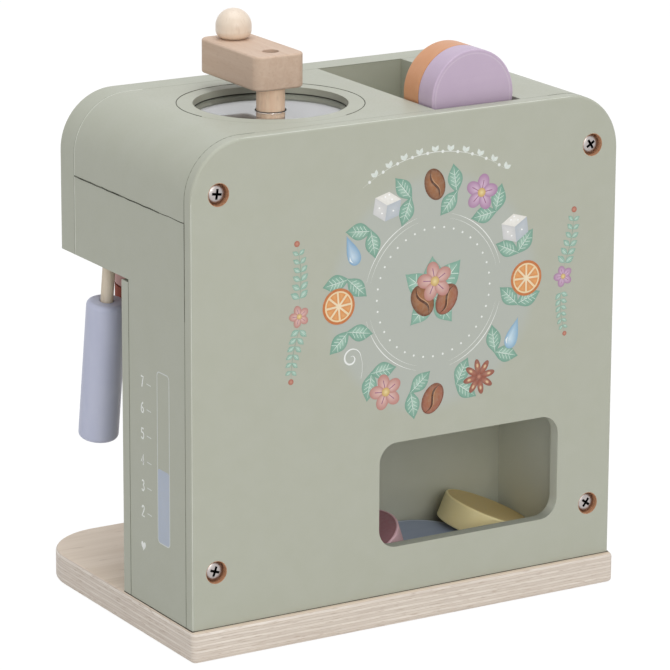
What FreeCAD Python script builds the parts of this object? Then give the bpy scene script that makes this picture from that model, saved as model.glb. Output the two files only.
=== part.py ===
"""Toy coffee maker for play kitchens: a painted plywood body on a bare plywood base.

The model frame has +Z up and its origin on the floor, under the middle of the base.
+X is the side with the water gauge, +Y is the menu side and -Y is the side with the
cup alcove, where the child stands. All sizes are millimetres.
"""
import os

import FreeCAD
import Part
import Sketcher

SIZES = {
    # base plate
    "base_side_margin": 1.5,
    "base_depth": 170.3,
    "base_height": 15.45,
    "base_front_radius": 34.5,
    "base_rear_radius": 3.0,
    "base_edge_round": 2.0,
    # body and its panels, measured from the outer face of the menu panel
    "rear_inset": 3.2,
    "body_width": 242.2,
    "body_height": 240.6,
    "corner_radius": 29.0,
    "panel_edge_round": 1.5,
    "menu_thickness": 6.3,
    "side_thickness": 26.5,
    "lower_depth": 69.5,
    "lower_front_thickness": 7.1,
    "lower_front_gap": 1.5,
    "upper_depth": 133.4,
    "upper_front_thickness": 15.8,
    "overhang_height": 79.3,
    "overhang_floor_thickness": 8.0,
    "top_thickness": 20.6,
    "top_leg": 39.4,
    "top_inner_round": 6.0,
    # rack for the coffee pads, a slot between the two top boards
    "slot_start": 17.7,
    "rack_clearance": 2.8,
    "rack_floor_thickness": 8.0,
    "rack_floor_lap": 11.0,
    # tray for the coffee pads, behind the window in the menu panel
    "window_from_side_board": 5.8,
    "window_width": 105.0,
    "window_sill": 24.1,
    "window_opening": 53.8,
    "window_radius": 10.0,
    "tray_play": 4.2,
    "partition_thickness": 8.0,
    "tray_room": 92.0,
    "tray_ceiling_thickness": 6.0,
    # coffee pads
    "pad_diameter": 46.8,
    "pad_thickness": 13.2,
    "pad_round": 0.8,
    "pad_clearance": 0.3,
    "rack_pad_start": 4.0,
    "rack_pad_shift": 0.6,
    "tray_pad_gap": 0.45,
    "yellow_lean": 21.0,
    "yellow_tip": 5.8,
    "mauve_lean": 20.5,
    "mauve_tip": 4.2,
    # grinder well in the right top board
    "grinder_from_middle": 43.0,
    "grinder_from_menu": 60.2,
    "ring_outer_diameter": 92.0,
    "ring_width": 8.0,
    "ring_thickness": 3.6,
    "ring_clearance": 0.2,
    "sheet_thickness": 2.0,
    "sheet_hole_clearance": 0.6,
    "well_depth": 8.1,
    "well_disc_thickness": 2.0,
    "well_disc_clearance": 0.2,
    # crank and its shaft
    "shaft_diameter": 14.0,
    "shaft_fit": 0.05,
    "flange_diameter": 24.0,
    "flange_thickness": 5.0,
    "flange_play": 0.2,
    "bearer_width": 56.0,
    "bearer_thickness": 10.0,
    "bearer_screw_diameter": 3.0,
    "bearer_screw_head": 6.0,
    "bearer_screw_head_height": 1.8,
    "bearer_screw_length": 16.0,
    "bearer_screw_inset": 7.0,
    "arm_lift": 8.2,
    "arm_width": 27.8,
    "arm_length": 58.8,
    "arm_height": 17.2,
    "arm_overhang": 11.0,
    "arm_round": 5.5,
    "arm_edge_round": 1.2,
    "crank_screw_diameter": 4.0,
    "crank_screw_head": 7.6,
    "crank_screw_head_height": 2.6,
    "crank_screw_depth": 28.0,
    "crank_screw_sink": 5.5,
    "crank_screw_bore_clearance": 0.4,
    "knob_diameter": 17.9,
    "knob_height": 15.1,
    "knob_from_end": 11.4,
    "knob_crown": 0.25,
    "knob_foot_round": 4.4,
    "knob_spigot_diameter": 8.0,
    "knob_spigot_length": 9.0,
    # steam wand
    "wand_from_side": 7.4,
    "wand_from_menu": 94.9,
    "wand_tilt": 8.4,
    "wand_diameter": 6.4,
    "wand_pivot_height": 7.5,
    "wand_rod_head": 4.0,
    "wand_rod_visible": 20.4,
    "wand_rod_seat": 24.0,
    "wand_pin_diameter": 3.0,
    "wand_pin_fit": 0.05,
    "wand_pin_bite": 2.0,
    "wand_slot_clearance": 0.3,
    "wand_slot_length": 15.0,
    "wand_slot_depth": 13.5,
    "grip_diameter": 20.2,
    "grip_length": 73.6,
    "grip_bore_clearance": 0.5,
    "grip_seat_depth": 8.0,
    "grip_round": 2.6,
    # group head and portafilter
    "group_from_grip": 1.2,
    "group_from_lower_front": 10.1,
    "group_diameter": 52.0,
    "group_height": 16.4,
    "group_round": 1.0,
    "head_diameter": 52.0,
    "head_height": 18.0,
    "head_gap": 0.3,
    "head_round": 2.0,
    "pivot_diameter": 5.0,
    "pivot_fit": 0.05,
    "pivot_head_diameter": 9.0,
    "pivot_head_height": 3.0,
    "pivot_head_play": 0.3,
    "pivot_well_diameter": 10.4,
    "pivot_grip": 14.0,
    "handle_angle": 45.0,
    "handle_length": 74.0,
    "handle_neck_diameter": 13.0,
    "handle_end_diameter": 19.0,
    "handle_tenon_diameter": 8.0,
    "handle_tenon_length": 12.0,
    "handle_round": 5.0,
    "spout_diameter": 8.0,
    "spout_length": 16.0,
    "spout_seat": 6.0,
    "spout_spacing": 24.0,
    "group_screw_diameter": 3.5,
    "group_screw_head": 7.0,
    "group_screw_head_height": 2.2,
    "group_screw_length": 20.0,
    "group_screw_spacing": 22.0,
    "group_screw_offset": 9.0,
    # brew dial on the upper front panel
    "dial_from_top": 48.0,
    "dial_diameter": 38.0,
    "dial_depth": 8.0,
    "dial_gap": 0.3,
    "dial_round": 2.5,
    "dial_pointer_width": 8.0,
    "dial_pointer_length": 31.0,
    "dial_pointer_depth": 7.0,
    "spindle_diameter": 8.0,
    "spindle_fit": 0.05,
    "spindle_seat": 9.0,
    "retainer_diameter": 20.0,
    "retainer_thickness": 4.0,
    # wood screws through the menu panel and up through the base
    "screw_diameter": 4.0,
    "screw_head_diameter": 8.4,
    "screw_head_height": 2.6,
    "screw_length": 32.0,
    "screw_well_diameter": 11.5,
    "screw_well_depth": 4.2,
    "low_screw_from_side": 13.3,
    "low_screw_height": 28.1,
    "high_screw_from_side": 15.1,
    "high_screw_from_top": 26.1,
    "base_screw_inset": 16.0,
}

PLACES = {
    # the sheet works these out from the driving dimensions above
    "body_half": "Sizes.body_width / 2",
    "base_half_width": "body_half + Sizes.base_side_margin",
    "base_half_depth": "Sizes.base_depth / 2",
    "base_top": "Sizes.base_height",
    "body_top": "base_top + Sizes.body_height",
    "menu_face": "base_half_depth - Sizes.rear_inset",
    "menu_back": "menu_face - Sizes.menu_thickness",
    "side_inner": "body_half - Sizes.side_thickness",
    "lower_front_face": "menu_face - Sizes.lower_depth",
    "lower_front_back": "lower_front_face + Sizes.lower_front_thickness",
    "upper_front_face": "menu_face - Sizes.upper_depth",
    "upper_front_back": "upper_front_face + Sizes.upper_front_thickness",
    "underside": "body_top - Sizes.overhang_height",
    "lower_front_top": "underside - Sizes.lower_front_gap",
    "top_under": "body_top - Sizes.top_thickness",
    "seam": "body_top - Sizes.top_leg",
    "side_lower_depth": "menu_back - lower_front_back",
    "body_inner_depth": "menu_back - upper_front_back",
    "slot_near": "-Sizes.slot_start",
    "slot_far": "slot_near - Sizes.pad_diameter - Sizes.rack_clearance",
    "rack_pad_middle": "(slot_near + slot_far) / 2 + Sizes.rack_pad_shift",
    "rack_floor_near": "slot_near + Sizes.rack_floor_lap",
    "rack_floor_far": "slot_far - Sizes.rack_floor_lap",
    "rack_floor_bottom": "top_under - Sizes.rack_floor_thickness",
    "overhang_floor_depth": "lower_front_back - upper_front_back",
    "window_far": "-side_inner + Sizes.window_from_side_board",
    "window_near": "window_far + Sizes.window_width",
    "window_low": "base_top + Sizes.window_sill",
    "window_high": "window_low + Sizes.window_opening",
    "tray_ceiling_low": "base_top + Sizes.tray_room",
    "tray_ceiling_high": "tray_ceiling_low + Sizes.tray_ceiling_thickness",
    "tray_middle": "(menu_back + lower_front_back) / 2",
    "pad_radius": "Sizes.pad_diameter / 2",
    "pad_lying": "base_top + Sizes.pad_clearance",
    "pad_standing": "top_under + Sizes.pad_clearance + pad_radius",
    "lilac_front": "menu_back - Sizes.rack_pad_start",
    "orange_front": "lilac_front - Sizes.pad_thickness - Sizes.pad_clearance",
    "pad_prop": "Sizes.pad_thickness + Sizes.pad_clearance",
    "tray_pad_line": "lower_front_back + Sizes.tray_pad_gap + pad_radius",
    "yellow_run": "sin(Sizes.yellow_lean * 1deg)",
    "yellow_rise": "cos(Sizes.yellow_lean * 1deg) * cos(Sizes.yellow_tip * 1deg)",
    "yellow_slope": "sqrt(1 - yellow_rise * yellow_rise)",
    "yellow_reach": "Sizes.pad_thickness * yellow_run + pad_radius * cos(Sizes.yellow_lean * 1deg)",
    "yellow_middle": "-side_inner + Sizes.pad_clearance + yellow_reach",
    "yellow_height": "pad_lying + pad_radius * yellow_slope",
    "yellow_prop": "yellow_rise * pad_prop + pad_radius * yellow_slope * (1 - yellow_rise)",
    "blue_middle": "yellow_middle + yellow_prop / yellow_run",
    "mauve_run": "sin(Sizes.mauve_lean * 1deg)",
    "mauve_rise": "cos(Sizes.mauve_lean * 1deg) * cos(Sizes.mauve_tip * 1deg)",
    "mauve_forward": "cos(Sizes.mauve_lean * 1deg) * sin(Sizes.mauve_tip * 1deg)",
    "mauve_slope": "sqrt(1 - mauve_rise * mauve_rise)",
    "mauve_reach": "Sizes.pad_thickness * mauve_run + pad_radius * cos(Sizes.mauve_lean * 1deg)",
    "mauve_line": "tray_middle - Sizes.pad_thickness * mauve_forward / 2",
    "mauve_height": "pad_lying + pad_radius * mauve_slope",
    "mauve_prop": "mauve_rise * pad_prop + pad_radius * mauve_slope * (1 - mauve_rise)",
    "mauve_side_step": "mauve_forward * (tray_pad_line - mauve_line)",
    "mauve_middle": "blue_middle + (mauve_prop + mauve_side_step) / mauve_run",
    "partition_face": "mauve_middle + mauve_reach + Sizes.tray_play",
    "partition_back": "partition_face + Sizes.partition_thickness",
    "grinder_middle": "Sizes.grinder_from_middle",
    "grinder_line": "menu_face - Sizes.grinder_from_menu",
    "rebate_radius": "Sizes.ring_outer_diameter / 2 + Sizes.ring_clearance",
    "rebate_depth": "Sizes.ring_thickness + Sizes.sheet_thickness",
    "ring_radius": "Sizes.ring_outer_diameter / 2",
    "well_radius": "ring_radius - Sizes.ring_width",
    "well_cut": "Sizes.well_depth + Sizes.well_disc_thickness",
    "well_disc_radius": "well_radius - Sizes.well_disc_clearance",
    "well_disc_bottom": "body_top - well_cut",
    "ring_bottom": "body_top - Sizes.ring_thickness",
    "sheet_bottom": "ring_bottom - Sizes.sheet_thickness",
    "sheet_hole_radius": "shaft_radius + Sizes.sheet_hole_clearance",
    "shaft_radius": "Sizes.shaft_diameter / 2",
    "shaft_bore_radius": "shaft_radius + Sizes.shaft_fit",
    "flange_radius": "Sizes.flange_diameter / 2",
    "flange_well_radius": "flange_radius + Sizes.flange_play",
    "flange_well_depth": "Sizes.flange_thickness + Sizes.flange_play",
    "flange_low": "top_under + Sizes.flange_play / 2",
    "flange_top": "flange_low + Sizes.flange_thickness",
    "arm_bottom": "body_top + Sizes.arm_lift",
    "bearer_bottom": "top_under - Sizes.bearer_thickness",
    "bearer_right": "grinder_middle + Sizes.bearer_width / 2",
    "bearer_left": "grinder_middle - Sizes.bearer_width / 2",
    "bearer_rear": "grinder_line + Sizes.bearer_width / 2",
    "bearer_front": "grinder_line - Sizes.bearer_width / 2",
    "bearer_screw_right": "bearer_right - Sizes.bearer_screw_inset",
    "bearer_screw_left": "bearer_left + Sizes.bearer_screw_inset",
    "bearer_screw_rear": "bearer_rear - Sizes.bearer_screw_inset",
    "bearer_screw_front": "bearer_front + Sizes.bearer_screw_inset",
    "bearer_screw_radius": "Sizes.bearer_screw_diameter / 2",
    "bearer_screw_head_radius": "Sizes.bearer_screw_head / 2",
    "bearer_screw_bite": "Sizes.bearer_screw_length - Sizes.bearer_thickness",
    "arm_right": "grinder_middle + Sizes.arm_width / 2",
    "arm_left": "grinder_middle - Sizes.arm_width / 2",
    "arm_rear": "grinder_line + Sizes.arm_overhang",
    "arm_front": "arm_rear - Sizes.arm_length",
    "arm_top": "arm_bottom + Sizes.arm_height",
    "crank_screw_radius": "Sizes.crank_screw_diameter / 2",
    "crank_screw_head_radius": "Sizes.crank_screw_head / 2",
    "crank_screw_bore_radius": "crank_screw_head_radius + Sizes.crank_screw_bore_clearance",
    "crank_screw_seat": "arm_top - Sizes.crank_screw_sink",
    "crank_screw_tip": "crank_screw_seat - Sizes.crank_screw_depth",
    "crank_screw_top": "crank_screw_seat + Sizes.crank_screw_head_height",
    "crank_pilot_depth": "Sizes.crank_screw_depth - Sizes.arm_height + Sizes.crank_screw_sink",
    "knob_line": "arm_front + Sizes.knob_from_end",
    "knob_radius": "Sizes.knob_diameter / 2",
    "knob_dome": "knob_radius - Sizes.knob_crown",
    "knob_spigot_radius": "Sizes.knob_spigot_diameter / 2",
    "knob_spigot_end": "-Sizes.knob_spigot_length",
    "wand_middle": "body_half - Sizes.wand_from_side",
    "wand_line": "menu_face - Sizes.wand_from_menu",
    "wand_pivot": "underside + Sizes.wand_pivot_height",
    "wand_radius": "Sizes.wand_diameter / 2",
    "wand_pin_radius": "Sizes.wand_pin_diameter / 2",
    "wand_pin_hole_radius": "wand_pin_radius + Sizes.wand_pin_fit",
    "wand_slot_right": "wand_middle + wand_radius + Sizes.wand_slot_clearance",
    "wand_slot_left": "wand_middle - wand_radius - Sizes.wand_slot_clearance",
    "wand_slot_rear": "wand_line + Sizes.wand_slot_length / 2",
    "wand_slot_front": "wand_line - Sizes.wand_slot_length / 2",
    "wand_pin_length": "wand_slot_right + Sizes.wand_pin_bite - side_inner",
    "grip_top": "-(Sizes.wand_pivot_height + Sizes.wand_rod_visible)",
    "grip_bottom": "grip_top - Sizes.grip_length",
    "rod_bottom": "grip_top - Sizes.wand_rod_seat",
    "grip_radius": "Sizes.grip_diameter / 2",
    "grip_bore_radius": "wand_radius + Sizes.grip_bore_clearance",
    "grip_seat_top": "rod_bottom + Sizes.grip_seat_depth",
    "head_radius": "Sizes.head_diameter / 2",
    "group_middle": "wand_middle - grip_radius - Sizes.group_from_grip - head_radius",
    "group_line": "lower_front_face - Sizes.group_from_lower_front - head_radius",
    "group_radius": "Sizes.group_diameter / 2",
    "group_bottom": "underside - Sizes.group_height",
    "head_top": "group_bottom - Sizes.head_gap",
    "head_bottom": "head_top - Sizes.head_height",
    "pivot_radius": "Sizes.pivot_diameter / 2",
    "pivot_bore_radius": "pivot_radius + Sizes.pivot_fit",
    "pivot_head_radius": "Sizes.pivot_head_diameter / 2",
    "pivot_well_radius": "Sizes.pivot_well_diameter / 2",
    "pivot_well_depth": "Sizes.pivot_head_height + Sizes.pivot_head_play * 2",
    "pivot_bottom": "head_bottom + Sizes.pivot_head_play",
    "pivot_head_top": "pivot_bottom + Sizes.pivot_head_height",
    "pivot_top": "group_bottom + Sizes.pivot_grip",
    "handle_axis": "head_bottom + Sizes.head_height / 2",
    "handle_start": "head_radius - Sizes.handle_tenon_length",
    "handle_tip": "head_radius + Sizes.handle_length",
    "handle_swell": "head_radius + Sizes.handle_length * 0.62",
    "handle_neck_radius": "Sizes.handle_neck_diameter / 2",
    "handle_end_radius": "Sizes.handle_end_diameter / 2",
    "handle_tenon_radius": "Sizes.handle_tenon_diameter / 2",
    "spout_radius": "Sizes.spout_diameter / 2",
    "spout_near": "Sizes.spout_spacing / 2",
    "spout_bottom": "head_bottom + Sizes.spout_seat - Sizes.spout_length",
    "group_screw_radius": "Sizes.group_screw_diameter / 2",
    "group_screw_head_radius": "Sizes.group_screw_head / 2",
    "group_screw_right": "group_middle + Sizes.group_screw_spacing / 2",
    "group_screw_left": "group_middle - Sizes.group_screw_spacing / 2",
    "group_screw_line": "group_line + Sizes.group_screw_offset",
    "group_screw_top": "underside + Sizes.overhang_floor_thickness",
    "group_screw_bite": "Sizes.group_screw_length - Sizes.overhang_floor_thickness",
    "dial_middle": "body_top - Sizes.dial_from_top",
    "dial_radius": "Sizes.dial_diameter / 2",
    "dial_back": "upper_front_face - Sizes.dial_gap",
    "pointer_half": "Sizes.dial_pointer_width / 2",
    "pointer_reach": "Sizes.dial_pointer_length / 2",
    "spindle_radius": "Sizes.spindle_diameter / 2",
    "spindle_bore_radius": "spindle_radius + Sizes.spindle_fit",
    "retainer_radius": "Sizes.retainer_diameter / 2",
    "spindle_rear": "upper_front_back + Sizes.dial_gap + Sizes.retainer_thickness",
    "spindle_length": "spindle_rear - dial_back + Sizes.spindle_seat",
    "low_screw_line": "body_half - Sizes.low_screw_from_side",
    "low_screw_level": "base_top + Sizes.low_screw_height",
    "high_screw_line": "body_half - Sizes.high_screw_from_side",
    "high_screw_level": "body_top - Sizes.high_screw_from_top",
    "screw_radius": "Sizes.screw_diameter / 2",
    "screw_head_radius": "Sizes.screw_head_diameter / 2",
    "screw_well_radius": "Sizes.screw_well_diameter / 2",
    "screw_seat": "menu_face - Sizes.screw_well_depth",
    "screw_tip": "screw_seat - Sizes.screw_length",
    "screw_bite": "menu_back - screw_tip",
    "base_screw_rear": "menu_back - Sizes.base_screw_inset",
    "base_screw_front": "lower_front_back + Sizes.base_screw_inset",
    "base_screw_bite": "Sizes.screw_well_depth + Sizes.screw_length - Sizes.base_height",
}

MENU_SCREWS = [
    # the four screws of the menu panel, each by its line across and its level
    ("-low_screw_line", "low_screw_level"),
    ("low_screw_line", "low_screw_level"),
    ("-high_screw_line", "high_screw_level"),
    ("high_screw_line", "high_screw_level"),
]

doc = FreeCAD.newDocument("ToyCoffeeMaker")


def make_sheet(name, rows):
    """Write one sheet: a label, a value and the value's alias in each row."""
    sheet = doc.addObject("Spreadsheet::Sheet", name)
    for row, (alias, value) in enumerate(rows.items(), start=1):
        sheet.set(f"A{row}", alias.replace("_", " "))
        sheet.set(f"B{row}", f"={value}" if isinstance(value, str) else str(value))
        sheet.setAlias(f"B{row}", alias)
    return sheet


sizes_sheet = make_sheet("Sizes", SIZES)
doc.recompute()
places_sheet = make_sheet("Places", PLACES)
doc.recompute()


def formula(name):
    """Give the expression text of one named size or place, with its sign."""
    sign = "-" if name.startswith("-") else ""
    plain = name.lstrip("-")
    return f"{sign}{'Sizes' if plain in SIZES else 'Places'}.{plain}"


def number(name):
    """Give the present value of one named size or place, with its sign."""
    if name == "zero":
        return 0.0
    plain = name.lstrip("-")
    sheet = sizes_sheet if plain in SIZES else places_sheet
    value = float(sheet.get(plain))
    return -value if name.startswith("-") else value


def new_body(label):
    """Start one sub-part."""
    body = doc.addObject("PartDesign::Body", label)
    body.Label = label
    body.AllowCompound = True
    return body


def new_sketch(body, plane, offset=None):
    """Attach a sketch to one of the body's own planes, moved along its normal."""
    support = next(item for item in body.Origin.OriginFeatures if item.Role == plane)
    sketch = body.newObject("Sketcher::SketchObject", f"{body.Name}_sketch")
    sketch.AttachmentSupport = [(support, "")]
    sketch.MapMode = "FlatFace"
    if offset:
        sketch.setExpression("AttachmentOffset.Base.z", formula(offset))
    return sketch


def pin_point(sketch, element, point, across, up):
    """Tie a sketch point to two named places, across and up from the sketch origin."""
    for name, kind, axis in ((across, "DistanceX", -2), (up, "DistanceY", -1)):
        if name == "zero":
            sketch.addConstraint(Sketcher.Constraint("PointOnObject", element, point, axis))
            continue
        index = sketch.addConstraint(Sketcher.Constraint(kind, -1, 1, element, point, number(name)))
        sketch.setExpression(f"Constraints[{index}]", formula(name))


def draw_outline(sketch, corners):
    """Draw a closed outline of straight lines through named corners."""
    places = [FreeCAD.Vector(number(across), number(up), 0) for across, up in corners]
    first = sketch.GeometryCount
    count = len(corners)
    for index, start in enumerate(places):
        sketch.addGeometry(Part.LineSegment(start, places[(index + 1) % count]), False)
    for index in range(count):
        following = first + (index + 1) % count
        sketch.addConstraint(Sketcher.Constraint("Coincident", first + index, 2, following, 1))
    for index, (across, up) in enumerate(corners):
        pin_point(sketch, first + index, 1, across, up)


def draw_rectangle(sketch, left, low, right, high):
    """Draw a rectangle between two named corners."""
    draw_outline(sketch, [(left, low), (right, low), (right, high), (left, high)])


def draw_circle(sketch, across, up, radius):
    """Draw a circle with a named centre and radius."""
    centre = FreeCAD.Vector(number(across), number(up), 0)
    circle = Part.Circle(centre, FreeCAD.Vector(0, 0, 1), number(radius))
    element = sketch.addGeometry(circle, False)
    pin_point(sketch, element, 3, across, up)
    index = sketch.addConstraint(Sketcher.Constraint("Radius", element, number(radius)))
    sketch.setExpression(f"Constraints[{index}]", formula(radius))


def pad(body, sketch, length, backward=False):
    """Push a sketch out into a solid by a named length."""
    feature = body.newObject("PartDesign::Pad", f"{body.Name}_pad")
    feature.Profile = sketch
    feature.setExpression("Length", formula(length))
    feature.Reversed = backward
    doc.recompute()
    return feature


def pocket(body, sketch, length, backward=False):
    """Cut a sketch into the solid by a named length, and see that something went."""
    before = body.Shape.Volume
    feature = body.newObject("PartDesign::Pocket", f"{body.Name}_pocket")
    feature.Profile = sketch
    feature.setExpression("Length", formula(length))
    feature.Reversed = backward
    doc.recompute()
    if body.Shape.Volume >= before:
        raise RuntimeError(f"{feature.Name} cut nothing from {body.Label}")
    return feature


def revolve(body, corners):
    """Turn an outline of radius and height round the body's own Z axis."""
    sketch = new_sketch(body, "XZ_Plane")
    draw_outline(sketch, corners)
    feature = body.newObject("PartDesign::Revolution", f"{body.Name}_turned")
    feature.Profile = sketch
    feature.ReferenceAxis = (sketch, ["V_Axis"])
    feature.Angle = 360
    doc.recompute()
    return feature


def round_edges(body, chosen, radius):
    """Round the edges that the test picks from the body's present shape."""
    base = body.Tip
    names = [f"Edge{index}" for index, edge in enumerate(base.Shape.Edges, start=1) if chosen(edge)]
    feature = body.newObject("PartDesign::Fillet", f"{body.Name}_round")
    feature.Base = (base, names)
    feature.setExpression("Radius", formula(radius))
    doc.recompute()
    return feature


def near(first, second):
    """Say whether two lengths are the same to a hundredth of a millimetre."""
    return abs(first - second) < 0.01


def runs_along(edge, axis):
    """Say whether an edge is straight and runs along X, Y or Z."""
    if not isinstance(edge.Curve, (Part.Line, Part.LineSegment)):
        return False
    return abs(abs(edge.tangentAt(edge.FirstParameter)[axis]) - 1) < 1e-6


def lies_at(edge, axis, value):
    """Say whether the whole edge lies in one plane across X, Y or Z."""
    box = edge.BoundBox
    low = (box.XMin, box.YMin, box.ZMin)[axis]
    high = (box.XMax, box.YMax, box.ZMax)[axis]
    return near(low, value) and near(high, value)


def put(body, across, along, up, turn=None):
    """Place a body whose own origin belongs at a named point, turned if asked."""
    if turn:
        body.Placement = FreeCAD.Placement(FreeCAD.Vector(), turn)
    for name, field in ((across, "x"), (along, "y"), (up, "z")):
        if name != "zero":
            body.setExpression(f"Placement.Base.{field}", formula(name))


def board(label, left, right, rear, front_to_rear, low, high):
    """Make a plain rectangular board, drawn from the front and pushed to the front."""
    body = new_body(label)
    sketch = new_sketch(body, "XZ_Plane", f"-{rear}")
    draw_rectangle(sketch, left, low, right, high)
    pad(body, sketch, front_to_rear)
    return body


def make_base_plate():
    """Thick plywood plate with big front corners and softened edges."""
    body = new_body("base_plate")
    sketch = new_sketch(body, "XY_Plane")
    draw_rectangle(sketch, "-base_half_width", "-base_half_depth", "base_half_width", "base_half_depth")
    pad(body, sketch, "base_height")

    def upright_at(front):
        """Pick the upright corner edges on the front or the rear end of the plate."""
        return lambda edge: runs_along(edge, 2) and (edge.BoundBox.YMin < 0) == front

    round_edges(body, upright_at(True), "base_front_radius")
    round_edges(body, upright_at(False), "base_rear_radius")
    top = number("base_top")
    round_edges(body, lambda edge: lies_at(edge, 2, top) or lies_at(edge, 2, 0.0), "base_edge_round")
    wells = new_sketch(body, "XY_Plane")
    holes = new_sketch(body, "XY_Plane")
    for across in ("low_screw_line", "-low_screw_line"):
        for along in ("base_screw_rear", "base_screw_front"):
            draw_circle(wells, across, along, "screw_well_radius")
            draw_circle(holes, across, along, "screw_radius")
    pocket(body, wells, "screw_well_depth", backward=True)
    pocket(body, holes, "base_height", backward=True)


def make_side_board(label, outer, inner):
    """L-shaped board: narrow behind the alcove, deep above it, under the top board."""
    body = new_body(label)
    sketch = new_sketch(body, "YZ_Plane", inner)
    draw_outline(sketch, [
        ("menu_back", "base_top"),
        ("menu_back", "seam"),
        ("upper_front_back", "seam"),
        ("upper_front_back", "underside"),
        ("lower_front_back", "underside"),
        ("lower_front_back", "base_top"),
    ])
    pad(body, sketch, "side_thickness", backward=outer.startswith("-"))
    line = "-low_screw_line" if outer.startswith("-") else "low_screw_line"
    pilots = new_sketch(body, "XZ_Plane", "-menu_back")
    draw_circle(pilots, line, "low_screw_level", "screw_radius")
    pocket(body, pilots, "screw_bite", backward=True)
    base_pilots = new_sketch(body, "XY_Plane", "base_top")
    for along in ("base_screw_rear", "base_screw_front"):
        draw_circle(base_pilots, line, along, "screw_radius")
    pocket(body, base_pilots, "base_screw_bite", backward=True)
    return body


def make_side_boards():
    """Both side boards; the right one also carries the steam wand."""
    make_side_board("side_board_left", "-body_half", "-side_inner")
    right = make_side_board("side_board_right", "body_half", "side_inner")
    slot = new_sketch(right, "XY_Plane", "underside")
    draw_rectangle(slot, "wand_slot_left", "wand_slot_front", "wand_slot_right", "wand_slot_rear")
    pocket(right, slot, "wand_slot_depth", backward=True)
    pin_hole = new_sketch(right, "YZ_Plane", "side_inner")
    draw_circle(pin_hole, "wand_line", "wand_pivot", "wand_pin_radius")
    pocket(right, pin_hole, "wand_pin_length", backward=True)


def soften_face(body, face_place):
    """Take the sharp edge off a panel's outer face, all round but along its foot."""
    face = number(face_place)
    foot = min(edge.BoundBox.ZMin for edge in body.Shape.Edges)
    outside = number("body_half")

    def on_rim(edge):
        """Pick the outline edges of the face, without its foot and its holes."""
        box = edge.BoundBox
        reaches_out = near(box.XMax, outside) or near(box.XMin, -outside)
        is_top = near(box.ZMin, number("body_top"))
        return lies_at(edge, 1, face) and not lies_at(edge, 2, foot) and (reaches_out or is_top)

    round_edges(body, on_rim, "panel_edge_round")


def round_top_corners(body):
    """Give a full-width panel the body's two large top corners."""
    top = number("body_top")

    def is_corner(edge):
        """Pick the edges along Y at the top corners."""
        return runs_along(edge, 1) and lies_at(edge, 2, top)

    round_edges(body, is_corner, "corner_radius")


def make_menu_panel():
    """Thin panel over the whole menu side, with the tray window and four screw wells."""
    body = new_body("menu_panel")
    sketch = new_sketch(body, "XZ_Plane", "-menu_face")
    draw_rectangle(sketch, "-body_half", "base_top", "body_half", "body_top")
    pad(body, sketch, "menu_thickness")
    round_top_corners(body)
    soften_face(body, "menu_face")
    window = new_sketch(body, "XZ_Plane", "-menu_face")
    draw_rectangle(window, "window_far", "window_low", "window_near", "window_high")
    pocket(body, window, "menu_thickness", backward=True)
    low, high = number("window_low"), number("window_high")

    def is_window_corner(edge):
        """Pick the four corners of the window."""
        return runs_along(edge, 1) and (lies_at(edge, 2, low) or lies_at(edge, 2, high))

    round_edges(body, is_window_corner, "window_radius")
    wells = new_sketch(body, "XZ_Plane", "-menu_face")
    holes = new_sketch(body, "XZ_Plane", "-menu_face")
    for across, up in MENU_SCREWS:
        draw_circle(wells, across, up, "screw_well_radius")
        draw_circle(holes, across, up, "screw_radius")
    pocket(body, wells, "screw_well_depth", backward=True)
    pocket(body, holes, "menu_thickness", backward=True)


def make_front_panels():
    """Thin panel behind the alcove and thick panel above it."""
    board("lower_front_panel", "-body_half", "body_half", "lower_front_back", "lower_front_thickness",
          "base_top", "lower_front_top")
    body = new_body("upper_front_panel")
    sketch = new_sketch(body, "XZ_Plane", "-upper_front_back")
    draw_rectangle(sketch, "-body_half", "underside", "body_half", "body_top")
    pad(body, sketch, "upper_front_thickness")
    round_top_corners(body)
    soften_face(body, "upper_front_face")
    bore = new_sketch(body, "XZ_Plane", "-upper_front_back")
    draw_circle(bore, "zero", "dial_middle", "spindle_bore_radius")
    pocket(body, bore, "upper_front_thickness", backward=True)


def make_top_board(label, edge_place, side):
    """Top board whose outer end turns down into a leg with the body's round corner."""
    body = new_body(label)
    sketch = new_sketch(body, "XZ_Plane", "-menu_back")
    sign = "" if side > 0 else "-"
    draw_outline(sketch, [
        (edge_place, "body_top"),
        (edge_place, "top_under"),
        (f"{sign}side_inner", "top_under"),
        (f"{sign}side_inner", "seam"),
        (f"{sign}body_half", "seam"),
        (f"{sign}body_half", "body_top"),
    ])
    pad(body, sketch, "body_inner_depth")
    outside = side * number("body_half")
    top = number("body_top")
    inner = side * number("side_inner")
    under = number("top_under")

    def is_shoulder(edge):
        """Pick the outer top corner."""
        return runs_along(edge, 1) and lies_at(edge, 0, outside) and lies_at(edge, 2, top)

    def is_armpit(edge):
        """Pick the inner corner between the board and its leg."""
        return runs_along(edge, 1) and lies_at(edge, 0, inner) and lies_at(edge, 2, under)

    round_edges(body, is_shoulder, "corner_radius")
    round_edges(body, is_armpit, "top_inner_round")
    line = f"{sign}high_screw_line"
    pilots = new_sketch(body, "XZ_Plane", "-menu_back")
    draw_circle(pilots, line, "high_screw_level", "screw_radius")
    pocket(body, pilots, "screw_bite", backward=True)
    return body


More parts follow.
